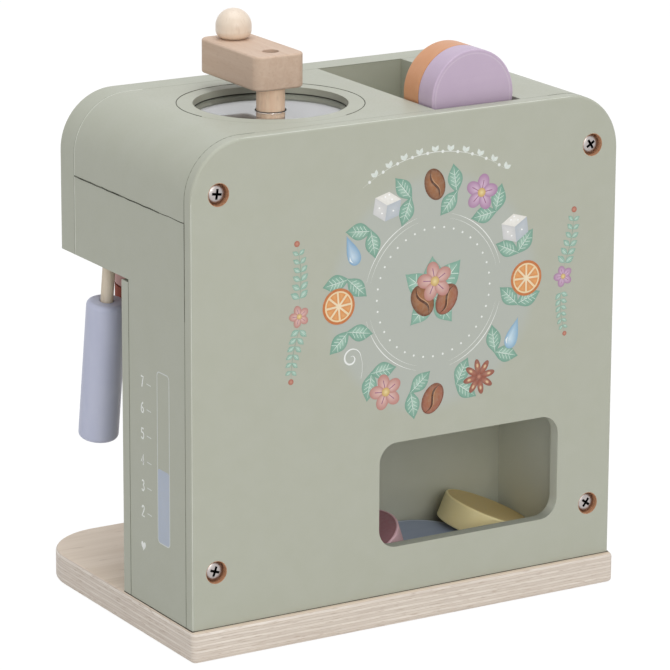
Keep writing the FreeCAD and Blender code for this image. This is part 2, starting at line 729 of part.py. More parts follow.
def make_top_boards():
    """Left and right top boards; the right one holds the grinder well."""
    make_top_board("top_board_left", "slot_far", -1)
    right = make_top_board("top_board_right", "slot_near", 1)
    cuts = (
        ("body_top", "rebate_radius", "rebate_depth", False),
        ("body_top", "well_radius", "well_cut", False),
        ("body_top", "shaft_bore_radius", "top_thickness", False),
        ("top_under", "flange_well_radius", "flange_well_depth", True),
    )
    for plane, radius, depth, upward in cuts:
        sketch = new_sketch(right, "XY_Plane", plane)
        draw_circle(sketch, "grinder_middle", "grinder_line", radius)
        pocket(right, sketch, depth, backward=upward)
    pilots = new_sketch(right, "XY_Plane", "top_under")
    for across in ("bearer_screw_left", "bearer_screw_right"):
        for along in ("bearer_screw_front", "bearer_screw_rear"):
            draw_circle(pilots, across, along, "bearer_screw_radius")
    pocket(right, pilots, "bearer_screw_bite", backward=True)


def make_inner_boards():
    """Boards inside the body: under the rack, over the alcove and round the pad tray."""
    board("rack_floor", "rack_floor_far", "rack_floor_near", "menu_back", "body_inner_depth",
          "rack_floor_bottom", "top_under")
    floor = board("overhang_floor", "-side_inner", "side_inner", "lower_front_back",
                  "overhang_floor_depth", "underside", "group_screw_top")
    holes = new_sketch(floor, "XY_Plane", "underside")
    for across in ("group_screw_left", "group_screw_right"):
        draw_circle(holes, across, "group_screw_line", "group_screw_radius")
    pocket(floor, holes, "overhang_floor_thickness", backward=True)
    board("tray_partition", "partition_face", "partition_back", "menu_back", "side_lower_depth",
          "base_top", "tray_ceiling_low")
    board("tray_ceiling", "-side_inner", "partition_back", "menu_back", "side_lower_depth",
          "tray_ceiling_low", "tray_ceiling_high")


def make_ring(label, plane, outer, inner, thickness):
    """Make a flat ring round the grinder's axis."""
    body = new_body(label)
    sketch = new_sketch(body, "XY_Plane", plane)
    draw_circle(sketch, "grinder_middle", "grinder_line", outer)
    draw_circle(sketch, "grinder_middle", "grinder_line", inner)
    pad(body, sketch, thickness)


def make_grinder():
    """Ring, clear sheet and floor disc of the well, and the plate that bears the shaft."""
    make_ring("grinder_ring", "ring_bottom", "ring_radius", "well_radius", "ring_thickness")
    make_ring("grinder_window", "sheet_bottom", "ring_radius", "sheet_hole_radius", "sheet_thickness")
    make_ring("grinder_floor", "well_disc_bottom", "well_disc_radius", "sheet_hole_radius",
              "well_disc_thickness")
    plate = new_body("shaft_bearer")
    sketch = new_sketch(plate, "XY_Plane", "bearer_bottom")
    draw_rectangle(sketch, "bearer_left", "bearer_front", "bearer_right", "bearer_rear")
    pad(plate, sketch, "bearer_thickness")
    holes = new_sketch(plate, "XY_Plane", "bearer_bottom")
    screws = new_body("bearer_screws")
    shanks = new_sketch(screws, "XY_Plane", "bearer_bottom")
    heads = new_sketch(screws, "XY_Plane", "bearer_bottom")
    for across in ("bearer_screw_left", "bearer_screw_right"):
        for along in ("bearer_screw_front", "bearer_screw_rear"):
            draw_circle(holes, across, along, "bearer_screw_radius")
            draw_circle(shanks, across, along, "bearer_screw_radius")
            draw_circle(heads, across, along, "bearer_screw_head_radius")
    pocket(plate, holes, "bearer_thickness", backward=True)
    pad(screws, shanks, "bearer_screw_length")
    pad(screws, heads, "bearer_screw_head_height", backward=True)


def make_crank():
    """Turned shaft with a flange, rounded arm, fixing screw and ball knob."""
    shaft = new_body("crank_shaft")
    revolve(shaft, [
        ("zero", "flange_low"),
        ("flange_radius", "flange_low"),
        ("flange_radius", "flange_top"),
        ("shaft_radius", "flange_top"),
        ("shaft_radius", "arm_bottom"),
        ("zero", "arm_bottom"),
    ])
    pilot = new_sketch(shaft, "XY_Plane", "arm_bottom")
    draw_circle(pilot, "zero", "zero", "crank_screw_radius")
    pocket(shaft, pilot, "crank_pilot_depth")
    put(shaft, "grinder_middle", "grinder_line", "zero")

    arm = new_body("crank_arm")
    sketch = new_sketch(arm, "XY_Plane", "arm_bottom")
    draw_rectangle(sketch, "arm_left", "arm_front", "arm_right", "arm_rear")
    pad(arm, sketch, "arm_height")
    round_edges(arm, lambda edge: runs_along(edge, 2), "arm_round")
    low, high = number("arm_bottom"), number("arm_top")
    round_edges(arm, lambda edge: lies_at(edge, 2, low) or lies_at(edge, 2, high), "arm_edge_round")
    cuts = (
        ("grinder_line", "crank_screw_bore_radius", "crank_screw_sink"),
        ("grinder_line", "crank_screw_radius", "arm_height"),
        ("knob_line", "knob_spigot_radius", "knob_spigot_length"),
    )
    for line, radius, depth in cuts:
        hole = new_sketch(arm, "XY_Plane", "arm_top")
        draw_circle(hole, "grinder_middle", line, radius)
        pocket(arm, hole, depth)

    screw = new_body("crank_screw")
    revolve(screw, [
        ("zero", "crank_screw_tip"),
        ("crank_screw_radius", "crank_screw_tip"),
        ("crank_screw_radius", "crank_screw_seat"),
        ("crank_screw_head_radius", "crank_screw_seat"),
        ("crank_screw_head_radius", "crank_screw_top"),
        ("zero", "crank_screw_top"),
    ])
    put(screw, "grinder_middle", "grinder_line", "zero")

    knob = new_body("crank_knob")
    revolve(knob, [
        ("zero", "knob_spigot_end"),
        ("knob_spigot_radius", "knob_spigot_end"),
        ("knob_spigot_radius", "zero"),
        ("knob_radius", "zero"),
        ("knob_radius", "knob_height"),
        ("zero", "knob_height"),
    ])
    radius, height = number("knob_radius"), number("knob_height")
    round_edges(knob, lambda edge: lies_at(edge, 2, height), "knob_dome")
    round_edges(knob, lambda edge: lies_at(edge, 2, 0.0) and near(edge.BoundBox.XMax, radius),
                "knob_foot_round")
    put(knob, "grinder_middle", "knob_line", "arm_top")


def make_wand():
    """Steam wand: a dowel hung on a pin in the side board's slot, with a turned grip."""
    turn = FreeCAD.Rotation(FreeCAD.Vector(1, 0, 0), -number("wand_tilt"))
    rod = new_body("wand_rod")
    revolve(rod, [
        ("zero", "rod_bottom"),
        ("wand_radius", "rod_bottom"),
        ("wand_radius", "wand_rod_head"),
        ("zero", "wand_rod_head"),
    ])
    eye = new_sketch(rod, "YZ_Plane", "-wand_radius")
    draw_circle(eye, "zero", "zero", "wand_pin_hole_radius")
    pocket(rod, eye, "wand_diameter", backward=True)
    put(rod, "wand_middle", "wand_line", "wand_pivot", turn)

    grip = new_body("wand_grip")
    revolve(grip, [
        ("zero", "grip_bottom"),
        ("grip_radius", "grip_bottom"),
        ("grip_radius", "grip_top"),
        ("grip_bore_radius", "grip_top"),
        ("grip_bore_radius", "grip_seat_top"),
        ("wand_radius", "grip_seat_top"),
        ("wand_radius", "rod_bottom"),
        ("zero", "rod_bottom"),
    ])
    radius = number("grip_radius")
    ends = (number("grip_bottom"), number("grip_top"))

    def is_rim(edge):
        """Pick the outer edge at each end of the grip."""
        return any(lies_at(edge, 2, end) for end in ends) and near(edge.BoundBox.XMax, radius)

    round_edges(grip, is_rim, "grip_round")
    put(grip, "wand_middle", "wand_line", "wand_pivot", turn)

    pin = new_body("wand_pin")
    sketch = new_sketch(pin, "YZ_Plane", "side_inner")
    draw_circle(sketch, "wand_line", "wand_pivot", "wand_pin_radius")
    pad(pin, sketch, "wand_pin_length")


def make_group():
    """Group head under the overhang and the portafilter that turns below it."""
    group = new_body("group_head")
    sketch = new_sketch(group, "XY_Plane", "group_bottom")
    draw_circle(sketch, "group_middle", "group_line", "group_radius")
    pad(group, sketch, "group_height")
    low = number("group_bottom")
    round_edges(group, lambda edge: lies_at(edge, 2, low), "group_round")
    pivot_hole = new_sketch(group, "XY_Plane", "group_bottom")
    draw_circle(pivot_hole, "group_middle", "group_line", "pivot_radius")
    pocket(group, pivot_hole, "pivot_grip", backward=True)
    pilots = new_sketch(group, "XY_Plane", "underside")
    screws = new_body("group_screws")
    shanks = new_sketch(screws, "XY_Plane", "group_screw_top")
    heads = new_sketch(screws, "XY_Plane", "group_screw_top")
    for across in ("group_screw_left", "group_screw_right"):
        draw_circle(pilots, across, "group_screw_line", "group_screw_radius")
        draw_circle(shanks, across, "group_screw_line", "group_screw_radius")
        draw_circle(heads, across, "group_screw_line", "group_screw_head_radius")
    pocket(group, pilots, "group_screw_bite")
    pad(screws, shanks, "group_screw_length", backward=True)
    pad(screws, heads, "group_screw_head_height")


def make_portafilter():
    """Head with its handle and two spouts, held up by the pivot screw it turns on."""
    turn = FreeCAD.Rotation(FreeCAD.Vector(0, 0, 1), -number("handle_angle"))
    head = new_body("portafilter_head")
    sketch = new_sketch(head, "XY_Plane", "head_bottom")
    draw_circle(sketch, "zero", "zero", "head_radius")
    pad(head, sketch, "head_height")
    low = number("head_bottom")
    round_edges(head, lambda edge: lies_at(edge, 2, low), "head_round")
    for radius, depth in (("pivot_bore_radius", "head_height"), ("pivot_well_radius", "pivot_well_depth")):
        hole = new_sketch(head, "XY_Plane", "head_bottom")
        draw_circle(hole, "zero", "zero", radius)
        pocket(head, hole, depth, backward=True)
    seats = new_sketch(head, "XY_Plane", "head_bottom")
    draw_circle(seats, "-spout_near", "zero", "spout_radius")
    draw_circle(seats, "spout_near", "zero", "spout_radius")
    pocket(head, seats, "spout_seat", backward=True)
    socket = new_sketch(head, "XZ_Plane", "handle_start")
    draw_circle(socket, "zero", "handle_axis", "handle_tenon_radius")
    pocket(head, socket, "handle_tenon_length", backward=True)
    put(head, "group_middle", "group_line", "zero", turn)

    spouts = new_body("portafilter_spouts")
    tubes = new_sketch(spouts, "XY_Plane", "spout_bottom")
    draw_circle(tubes, "-spout_near", "zero", "spout_radius")
    draw_circle(tubes, "spout_near", "zero", "spout_radius")
    pad(spouts, tubes, "spout_length")
    put(spouts, "group_middle", "group_line", "zero", turn)

    handle = new_body("portafilter_handle")
    revolve(handle, [
        ("zero", "handle_start"),
        ("handle_tenon_radius", "handle_start"),
        ("handle_tenon_radius", "head_radius"),
        ("handle_neck_radius", "head_radius"),
        ("handle_end_radius", "handle_swell"),
        ("handle_end_radius", "handle_tip"),
        ("zero", "handle_tip"),
    ])
    tip = number("handle_tip")
    round_edges(handle, lambda edge: lies_at(edge, 2, tip), "handle_round")
    toward_front = FreeCAD.Rotation(FreeCAD.Vector(1, 0, 0), 90)
    put(handle, "group_middle", "group_line", "handle_axis", turn.multiply(toward_front))

    pivot = new_body("portafilter_pivot")
    revolve(pivot, [
        ("zero", "pivot_bottom"),
        ("pivot_head_radius", "pivot_bottom"),
        ("pivot_head_radius", "pivot_head_top"),
        ("pivot_radius", "pivot_head_top"),
        ("pivot_radius", "pivot_top"),
        ("zero", "pivot_top"),
    ])
    put(pivot, "group_middle", "group_line", "zero")


def make_dial():
    """Brew dial on the upper front panel, turning on a dowel with a retaining ring."""
    dial = new_body("brew_dial")
    sketch = new_sketch(dial, "XY_Plane")
    draw_circle(sketch, "zero", "zero", "dial_radius")
    pad(dial, sketch, "dial_depth")
    face = number("dial_depth")
    round_edges(dial, lambda edge: lies_at(edge, 2, face), "dial_round")
    pointer = new_sketch(dial, "XY_Plane", "dial_depth")
    draw_rectangle(pointer, "-pointer_half", "-pointer_reach", "pointer_half", "pointer_reach")
    pad(dial, pointer, "dial_pointer_depth")
    round_edges(dial, lambda edge: runs_along(edge, 2), "dial_round")
    seat = new_sketch(dial, "XY_Plane")
    draw_circle(seat, "zero", "zero", "spindle_radius")
    pocket(dial, seat, "spindle_seat", backward=True)
    put(dial, "zero", "dial_back", "dial_middle", FreeCAD.Rotation(FreeCAD.Vector(1, 0, 0), 90))

    spindle = new_body("dial_spindle")
    rod = new_sketch(spindle, "XZ_Plane", "-spindle_rear")
    draw_circle(rod, "zero", "dial_middle", "spindle_radius")
    pad(spindle, rod, "spindle_length")

    retainer = new_body("dial_retainer")
    ring = new_sketch(retainer, "XZ_Plane", "-spindle_rear")
    draw_circle(ring, "zero", "dial_middle", "retainer_radius")
    draw_circle(ring, "zero", "dial_middle", "spindle_radius")
    pad(retainer, ring, "retainer_thickness")


def make_screws():
    """Four screws through the menu panel and four up through the base."""
    menu_screws = new_body("menu_screws")
    shanks = new_sketch(menu_screws, "XZ_Plane", "-screw_seat")
    heads = new_sketch(menu_screws, "XZ_Plane", "-screw_seat")
    base_screws = new_body("base_screws")
    base_shanks = new_sketch(base_screws, "XY_Plane", "screw_well_depth")
    base_heads = new_sketch(base_screws, "XY_Plane", "screw_well_depth")
    for across, up in MENU_SCREWS:
        draw_circle(shanks, across, up, "screw_radius")
        draw_circle(heads, across, up, "screw_head_radius")
    for across in ("-low_screw_line", "low_screw_line"):
        for along in ("base_screw_front", "base_screw_rear"):
            draw_circle(base_shanks, across, along, "screw_radius")
            draw_circle(base_heads, across, along, "screw_head_radius")
    pad(menu_screws, shanks, "screw_length")
    pad(menu_screws, heads, "screw_head_height", backward=True)
    pad(base_screws, base_shanks, "screw_length")
    pad(base_screws, base_heads, "screw_head_height", backward=True)


def make_pad(label, across, along, up, turn=None):
    """Make one wooden coffee pad with softened edges."""
    body = new_body(label)
    sketch = new_sketch(body, "XY_Plane")
    draw_circle(sketch, "zero", "zero", "pad_radius")
    pad(body, sketch, "pad_thickness")
    round_edges(body, lambda edge: lies_at(edge, 2, edge.BoundBox.ZMin), "pad_round")
    put(body, across, along, up, turn)


def leaning(lean, tip):
    """Turn a lying pad about Y by its lean and then about X, tipped to the window."""
    about_x = FreeCAD.Rotation(FreeCAD.Vector(1, 0, 0), -tip)
    return about_x.multiply(FreeCAD.Rotation(FreeCAD.Vector(0, 1, 0), lean))


def make_pads():
    """Two pads stand in the rack, one lies in the tray and two lean on it there."""
    on_edge = FreeCAD.Rotation(FreeCAD.Vector(1, 0, 0), 90)
    make_pad("pad_lilac", "rack_pad_middle", "lilac_front", "pad_standing", on_edge)
    make_pad("pad_orange", "rack_pad_middle", "orange_front", "pad_standing", on_edge)
    make_pad("pad_blue", "blue_middle", "tray_pad_line", "pad_lying")
    lean_left = leaning(-number("yellow_lean"), number("yellow_tip"))
    make_pad("pad_yellow", "yellow_middle", "tray_pad_line", "yellow_height", lean_left)
    lean_right = leaning(number("mauve_lean"), number("mauve_tip"))
    make_pad("pad_mauve", "mauve_middle", "mauve_line", "mauve_height", lean_right)


def check_and_write():
    """Stop on any failed object, then write each sub-part to its own file."""
    doc.recompute()
    for item in doc.Objects:
        if "Invalid" in item.State or "Error" in item.State:
            raise RuntimeError(f"{item.Name} failed: {item.State}")
    bodies = [item for item in doc.Objects if item.TypeId == "PartDesign::Body"]
    for body in bodies:
        if body.Shape.isNull() or not body.Shape.isValid() or not body.Shape.Solids:
            raise RuntimeError(f"{body.Label} has no valid solid")
    os.makedirs("parts", exist_ok=True)
    for body in bodies:
        body.Shape.exportStep(os.path.join("parts", f"{body.Label}.step"))
    print(f"{len(bodies)} sub-parts written")


make_base_plate()
make_side_boards()
make_menu_panel()
make_front_panels()
make_top_boards()
make_inner_boards()
make_grinder()
make_crank()
make_wand()
make_group()
make_portafilter()
make_dial()
make_screws()
make_pads()
check_and_write()
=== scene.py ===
# %% [markdown]
# This lesson dresses a toy coffee maker for a play kitchen. A painted wooden body stands on a
# bare plywood base. It has a grinder with a crank on top, a rack and a tray for wooden coffee
# pads, a steam wand on one side and an alcove for cups. The solid model is loaded first and
# stays as it is; everything here gives it finishes, printing, screws, seams, light and a camera.

# %% Load the solid model
import math

import bmesh
import bpy
import numpy as np
from mathutils import Matrix, Vector


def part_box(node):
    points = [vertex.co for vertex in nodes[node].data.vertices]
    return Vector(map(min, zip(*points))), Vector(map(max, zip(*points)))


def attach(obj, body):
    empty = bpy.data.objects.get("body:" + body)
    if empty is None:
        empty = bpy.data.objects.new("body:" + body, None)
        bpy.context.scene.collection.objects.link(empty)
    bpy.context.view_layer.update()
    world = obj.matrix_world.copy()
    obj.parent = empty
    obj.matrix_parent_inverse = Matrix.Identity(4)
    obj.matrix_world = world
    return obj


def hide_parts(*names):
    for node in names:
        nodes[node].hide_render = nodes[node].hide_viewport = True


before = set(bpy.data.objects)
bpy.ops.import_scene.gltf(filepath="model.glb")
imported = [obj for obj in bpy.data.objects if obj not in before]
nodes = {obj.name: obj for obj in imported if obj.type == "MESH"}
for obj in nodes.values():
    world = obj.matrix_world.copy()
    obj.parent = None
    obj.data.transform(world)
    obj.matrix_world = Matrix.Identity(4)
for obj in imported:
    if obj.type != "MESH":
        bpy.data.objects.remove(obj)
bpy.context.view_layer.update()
MM = 0.001
panel_low, panel_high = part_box("menu_panel")
side_face, menu_face, body_top = panel_high
menu_back, base_top = panel_low.y, panel_low.z
front_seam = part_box("side_board_right")[0].y
front_face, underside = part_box("upper_front_panel")[0].yz
low_face, low_seam = (corner.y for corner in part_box("lower_front_panel"))
leg_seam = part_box("top_board_right")[0].z
print("loaded", len(nodes), "nodes; body top at", round(body_top / MM, 1), "mm")

# %% [markdown]
# A few small helpers keep the rest readable. Colours are written as they are picked from a
# screen, in sRGB hex, and one function turns them to the linear values that Blender works with.
# Another adds any node with its settings and links in a single statement. A node that is given
# as a value is linked by its first output in use.

# %% Colour, node and place helpers
def linear(hex_colour):
    """Turn an sRGB hex colour into linear red, green, blue and a full alpha."""
    parts = [int(hex_colour[place:place + 2], 16) / 255 for place in (0, 2, 4)]
    light = [part / 12.92 if part <= 0.04045 else ((part + 0.055) / 1.055) ** 2.4 for part in parts]
    return (*light, 1.0)


def add_node(tree, kind, inputs=None, **settings):
    """Add a node, set its properties, and give each input a value or a link."""
    made = tree.nodes.new(kind)
    for name, value in settings.items():
        setattr(made, name, value)
    for name, value in (inputs or {}).items():
        if isinstance(value, bpy.types.Node):
            value = next(output for output in value.outputs if output.enabled)
        if isinstance(value, bpy.types.NodeSocket):
            tree.links.new(value, made.inputs[name])
        else:
            made.inputs[name].default_value = value
    return made


def link_object(name, data):
    """Put new data in the scene as an object."""
    made = bpy.data.objects.new(name, data)
    bpy.context.scene.collection.objects.link(made)
    return made


def on_circle(radius, angle):
    """Give the point of a circle at an angle."""
    return radius * math.cos(angle), radius * math.sin(angle)


def middle_of(node_name):
    """Give the middle of a node's box."""
    return [(low + high) / 2 for low, high in zip(*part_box(node_name))]


print("helpers ready; mid grey is", [round(part, 3) for part in linear("808080")[:3]])

# %% [markdown]
# The camera stands where the photograph was taken, about two metres away with a long lens, so
# the upright edges hardly lean. Its place, tilt and lens come from fitting the corners of the
# body and the base. The camera is the first thing made, because all the later choices of scale
# depend on how large a millimetre is in the picture: here it is about two pixels.

# %% Camera
AZIMUTH, ELEVATION, ROLL = (math.radians(angle) for angle in (148.99, 15.6, 0.27))
camera_data = bpy.data.cameras.new("studio_camera")
camera_data.sensor_fit = "HORIZONTAL"
camera_data.sensor_width = 36.0
camera_data.lens = 219.4
camera_data.clip_start = 0.05
camera = link_object("studio_camera", camera_data)
back = Vector((math.sin(AZIMUTH) * math.cos(ELEVATION), -math.cos(AZIMUTH) * math.cos(ELEVATION),
               math.sin(ELEVATION)))
level_right = (-back).cross(Vector((0, 0, 1))).normalized()
level_up = level_right.cross(-back)
right = math.cos(ROLL) * level_right + math.sin(ROLL) * level_up
up = math.cos(ROLL) * level_up - math.sin(ROLL) * level_right
turn = Matrix((right, up, back)).transposed().to_4x4()
camera.matrix_world = Matrix.Translation(Vector((1.0176, 1.7050, 0.68165))) @ turn
bpy.context.scene.camera = camera
print("camera lens", camera_data.lens, "mm")

# %% [markdown]
# The object was photographed as a cut-out on white, in the soft even light of a white room. A
# big soft lamp stands near the camera, turned more to the menu side, so that face is brighter
# than the side with the gauge. A wide lamp overhead makes the top the lightest. Floor and room
# look white to the camera, also in mirrors and through the clear sheet, with a faint shadow kept
# on the floor. To the object they give only the light that a pale room would give.

# %% Floor, world and lamps
FLOOR_RADIUS, FLOOR_DROP, FLOOR_CORNERS = 8.0, 0.2 * MM, 64
FLOOR_WHITE_SHARE, FLOOR_WHITE_LEVEL = 0.88, 1.08
ROOM_LEVEL = 0.50


def empty_material(name):
    """Start a material with nothing in its tree; give both."""
    made = bpy.data.materials.new(name)
    made.use_nodes = True
    made.node_tree.nodes.clear()
    return made, made.node_tree


def placed_material(name):
    """Start a material whose pattern keeps its place on the piece; give that place too."""
    made, tree = empty_material(name)
    return made, tree, add_node(tree, "ShaderNodeTexCoord").outputs["Object"]


def close_material(made, shader):
    """Join the last shader to the material's output."""
    add_node(made.node_tree, "ShaderNodeOutputMaterial", {"Surface": shader})
    return made


def looked_at(tree):
    """Give one where the camera looks, straight, in a mirror or through clear sheet; else nought."""
    rays = add_node(tree, "ShaderNodeLightPath").outputs
    indirect = add_node(tree, "ShaderNodeMath", {0: rays["Is Glossy Ray"],
                                                 1: rays["Is Transmission Ray"]}, operation="MAXIMUM")
    return add_node(tree, "ShaderNodeMath", {0: rays["Is Camera Ray"], 1: indirect},
                    operation="MAXIMUM")


def pale_floor():
    """White to the camera and in reflections, with part of its real shading kept."""
    made, tree = empty_material("pale_studio_floor")
    share = add_node(tree, "ShaderNodeMath", {0: looked_at(tree), 1: FLOOR_WHITE_SHARE},
                     operation="MULTIPLY")
    matt = add_node(tree, "ShaderNodeBsdfDiffuse", {"Color": linear("EDEDEC")})
    white = add_node(tree, "ShaderNodeEmission", {"Color": linear("FFFFFF"),
                                                  "Strength": FLOOR_WHITE_LEVEL})
    return close_material(made, add_node(tree, "ShaderNodeMixShader", {0: share, 1: matt, 2: white}))


floor_mesh = bpy.data.meshes.new("studio_floor")
floor_edge = [(*on_circle(FLOOR_RADIUS, step * math.tau / FLOOR_CORNERS), -FLOOR_DROP)
              for step in range(FLOOR_CORNERS)]
floor_mesh.from_pydata(floor_edge, [], [list(range(FLOOR_CORNERS))])
floor_mesh.materials.append(pale_floor())
floor = link_object("studio_floor", floor_mesh)

world = bpy.data.worlds.new("white_room")
bpy.context.scene.world = world
world.use_nodes = True
sky = world.node_tree
sky.nodes.clear()
room_light = add_node(sky, "ShaderNodeBackground", {"Color": linear("F5F6F7"), "Strength": ROOM_LEVEL})
room_white = add_node(sky, "ShaderNodeBackground", {"Color": linear("FFFFFF"), "Strength": 1.0})
room = add_node(sky, "ShaderNodeMixShader", {0: looked_at(sky), 1: room_light, 2: room_white})
add_node(sky, "ShaderNodeOutputWorld", {"Surface": room})

LAMPS = [
    ("menu_side_lamp", (0.45, 2.3, 0.95), (0, 0, 0.12), 1.3, 17.6, "FFFDF8"),
    ("overhead_lamp", (-0.05, 0.1, 2.1), (0, 0, 0.2), 1.8, 21.5, "FAFCFF"),
    ("gauge_side_lamp", (2.2, 0.3, 0.9), (0, 0, 0.12), 1.4, 2.2, "FFFDF6"),
]
for name, place, aim, size, power, colour in LAMPS:
    data = bpy.data.lights.new(name, "AREA")
    data.shape = "SQUARE"
    data.size = size
    data.energy = power
    data.color = linear(colour)[:3]
    lamp = link_object(name, data)
    lamp.location = place
    lamp.rotation_euler = (Vector(aim) - Vector(place)).to_track_quat("-Z", "Y").to_euler()
print("floor, world and", len(LAMPS), "lamps")

# %% [markdown]
# Most finishes here are built from the same few layers, so a few helpers make them. Wood grain
# is noise on a place that is stretched along the grain. One colour lies over another where such
# a pattern is strong. A ramp runs through set colours. The last layer is the surface itself,
# with a gloss and a shallow relief of a real depth.

# %% Layers that the finishes share
def stretched_noise(tree, place, stretch, detail, roughness=0.5, distortion=0.0):
    """Add noise on a stretched place: grain, rays, flecks or layers."""
    fitted = add_node(tree, "ShaderNodeMapping", {"Vector": place, "Scale": stretch})
    return add_node(tree, "ShaderNodeTexNoise", {
        "Vector": fitted, "Scale": 1.0, "Detail": detail, "Roughness": roughness,
        "Distortion": distortion})


def along_grain(axis, lengthwise, crosswise):
    """Give the stretch of a pattern whose grain runs along one axis."""
    return [lengthwise if number == axis else crosswise for number in range(3)]


def colour_over(tree, under, over, pattern, start, full, most=1.0, **settings):
    """Lay a colour over another as a pattern rises from start to full, up to the most."""
    share = add_node(tree, "ShaderNodeMapRange", {0: pattern, 1: start, 2: full, 3: 0.0, 4: most},
                     **settings)
    under, over = (linear(part) if isinstance(part, str) else part for part in (under, over))
    return add_node(tree, "ShaderNodeMix", {0: share, 6: under, 7: over}, data_type="RGBA")


def set_stops(ramp_node, stops):
    """Give a colour ramp its stops, each a position and a colour."""
    elements = ramp_node.color_ramp.elements
    for element, (position, colour) in zip(elements, (stops[0], stops[-1])):
        element.position, element.color = position, linear(colour)
    for position, colour in stops[1:-1]:
        elements.new(position).color = linear(colour)


def surface(made, colour, rough, shine, relief=None, strength=0.0, depth=0.0):
    """Close a material with its colour, roughness and shine, and a relief if it has one."""
    tree = made.node_tree
    sockets = {"Base Color": colour, "Roughness": rough, "Specular IOR Level": shine}
    if relief:
        sockets["Normal"] = add_node(tree, "ShaderNodeBump", {"Strength": strength, "Distance": depth,
                                                              "Height": relief})
    return close_material(made, add_node(tree, "ShaderNodeBsdfPrincipled", sockets))


print("layers ready")

# %% [markdown]
# The body is medium-density board and plywood under a sage water-based paint, put on with a fine
# foam roller. To the eye that is one quiet colour, with a very fine orange peel that breaks up
# the highlights, and patches that are a hair lighter where the paint lies thicker. The peel is
# about 1 mm across in reality. At two pixels to the millimetre it only just shows, so the same
# noise is also used at 14 mm for the clouding.

# %% Sage roller paint
PEEL, CLOUD, PEEL_DEPTH = 1.1 * MM, 14 * MM, 0.05 * MM
TRAY_SIDE, TRAY_TOP = 100 * MM, 200 * MM
wreath_middle = Vector((-0.014, menu_face, 0.1668))


def roller_paint(name, colour="B2B4A5", cloud_colour="B6B8AB", painted_sheen=None, bounce_light_colour=None,
                 sill_shade_colour=None):
    """Water-based paint from a foam roller: matt, faintly clouded, fine orange peel.

    A painted sheen is a paler round patch, a painted reflection laid under a print. Inside the
    tray and on the edges of its window the paint can have a lighter inner colour, painted light
    that stands in for light bounced inside the tray, and a darker sill colour, painted shade,
    where such a face looks up.
    """
    made, tree = empty_material(name)
    coords = add_node(tree, "ShaderNodeTexCoord").outputs
    place = coords["Object"]
    clouds = add_node(tree, "ShaderNodeTexNoise", {"Vector": place, "Scale": 1 / CLOUD, "Detail": 4.0,
                                                   "Roughness": 0.6})
    peel = add_node(tree, "ShaderNodeTexNoise", {"Vector": place, "Scale": 1 / PEEL, "Detail": 2.0,
                                                 "Roughness": 0.5})
    finish = colour_over(tree, colour, cloud_colour, clouds, 0.35, 0.65, 0.5)
    # The painted sheen: a paler round patch round the print's middle, a painted reflection of the soft
    # light on the menu side.
    if painted_sheen:
        centre, reach, sheen_colour = painted_sheen
        around = add_node(tree, "ShaderNodeVectorMath", {0: place, 1: centre}, operation="DISTANCE")
        finish = colour_over(tree, finish, sheen_colour, around, reach * 1.05, reach * 0.9,
                             interpolation_type="SMOOTHSTEP")
    # Painted light and shade at the tray: a lighter inner colour on faces inside the tray and on the
    # window's edges stands in for bounced light, and faces there that look up get a darker sill colour
    # as painted shade.
    if bounce_light_colour:
        spot = add_node(tree, "ShaderNodeSeparateXYZ", {0: place}).outputs
        facing = add_node(tree, "ShaderNodeSeparateXYZ", {0: coords["Normal"]}).outputs
        off_middle = add_node(tree, "ShaderNodeMath", {0: spot[0]}, operation="ABSOLUTE")
        along_y = add_node(tree, "ShaderNodeMath", {0: facing[1]}, operation="ABSOLUTE")
        within = add_node(tree, "ShaderNodeMapRange", {0: off_middle, 1: TRAY_SIDE + 4 * MM,
                                                       2: TRAY_SIDE})
        cut = add_node(tree, "ShaderNodeMapRange", {0: along_y, 1: 0.8, 2: 0.5})
        below = add_node(tree, "ShaderNodeMapRange", {0: spot[2], 1: TRAY_TOP + 10 * MM, 2: TRAY_TOP})
        low_inside = add_node(tree, "ShaderNodeMath", {0: within, 1: below}, operation="MULTIPLY")
        share = add_node(tree, "ShaderNodeMath", {0: low_inside, 1: cut}, operation="MULTIPLY")
        inner = colour_over(tree, bounce_light_colour, sill_shade_colour or bounce_light_colour, facing[2], 0.5, 0.9)
        finish = add_node(tree, "ShaderNodeMix", {0: share, 6: finish, 7: inner}, data_type="RGBA")
    rough = add_node(tree, "ShaderNodeMapRange", {0: peel, 1: 0.3, 2: 0.7, 3: 0.42, 4: 0.54})
    return surface(made, finish, rough, 0.42, peel, 0.10, PEEL_DEPTH)


sage = roller_paint("sage_roller_paint")
# The menu side's paint has the painted sheen behind the wreath, and painted light and painted shade at
# the tray's window.
menu_sage = roller_paint("sage_roller_paint_with_painted_light", painted_sheen=(wreath_middle, 60 * MM, "B4B8B0"),
                         bounce_light_colour="CBCDC0", sill_shade_colour="9A9C90")
# The tray's side boards are painted lighter inside the tray: painted light for the light bounced there.
board_sage = roller_paint("sage_roller_paint_on_tray_board", bounce_light_colour="D2D4C7")
# The tray's partition is a lighter copy of the sage: painted light for the light bounced inside the
# tray.
bounce_lit_sage = roller_paint("sage_roller_paint_lightened_for_bounce_light", "C4C6B8", "C8CABD")
print("paint materials:", sage.name, "and", menu_sage.name)

# %% [markdown]
# The base is birch plywood, lacquered clear. Its face shows long pale veneer grain with a few
# short brown flecks. Its sanded edge shows the plies: about 1.4 mm each, long grain and end grain
# in turn, with a thin darker glue line between them. One material does both. The direction of
# the surface says which of the two is showing, so the rounded rim passes from one to the other.

# %% Birch plywood
TWO_PLIES, PLY_WAVE = 2.76 * MM, 0.6 * MM
PLY_COLOURS = [(0.0, "C2B1A1"), (0.06, "EBE1D7"), (0.44, "F1E8DE"), (0.50, "CAB9A8"),
               (0.56, "DED2C6"), (0.94, "E3D8CC"), (1.0, "C2B1A1")]


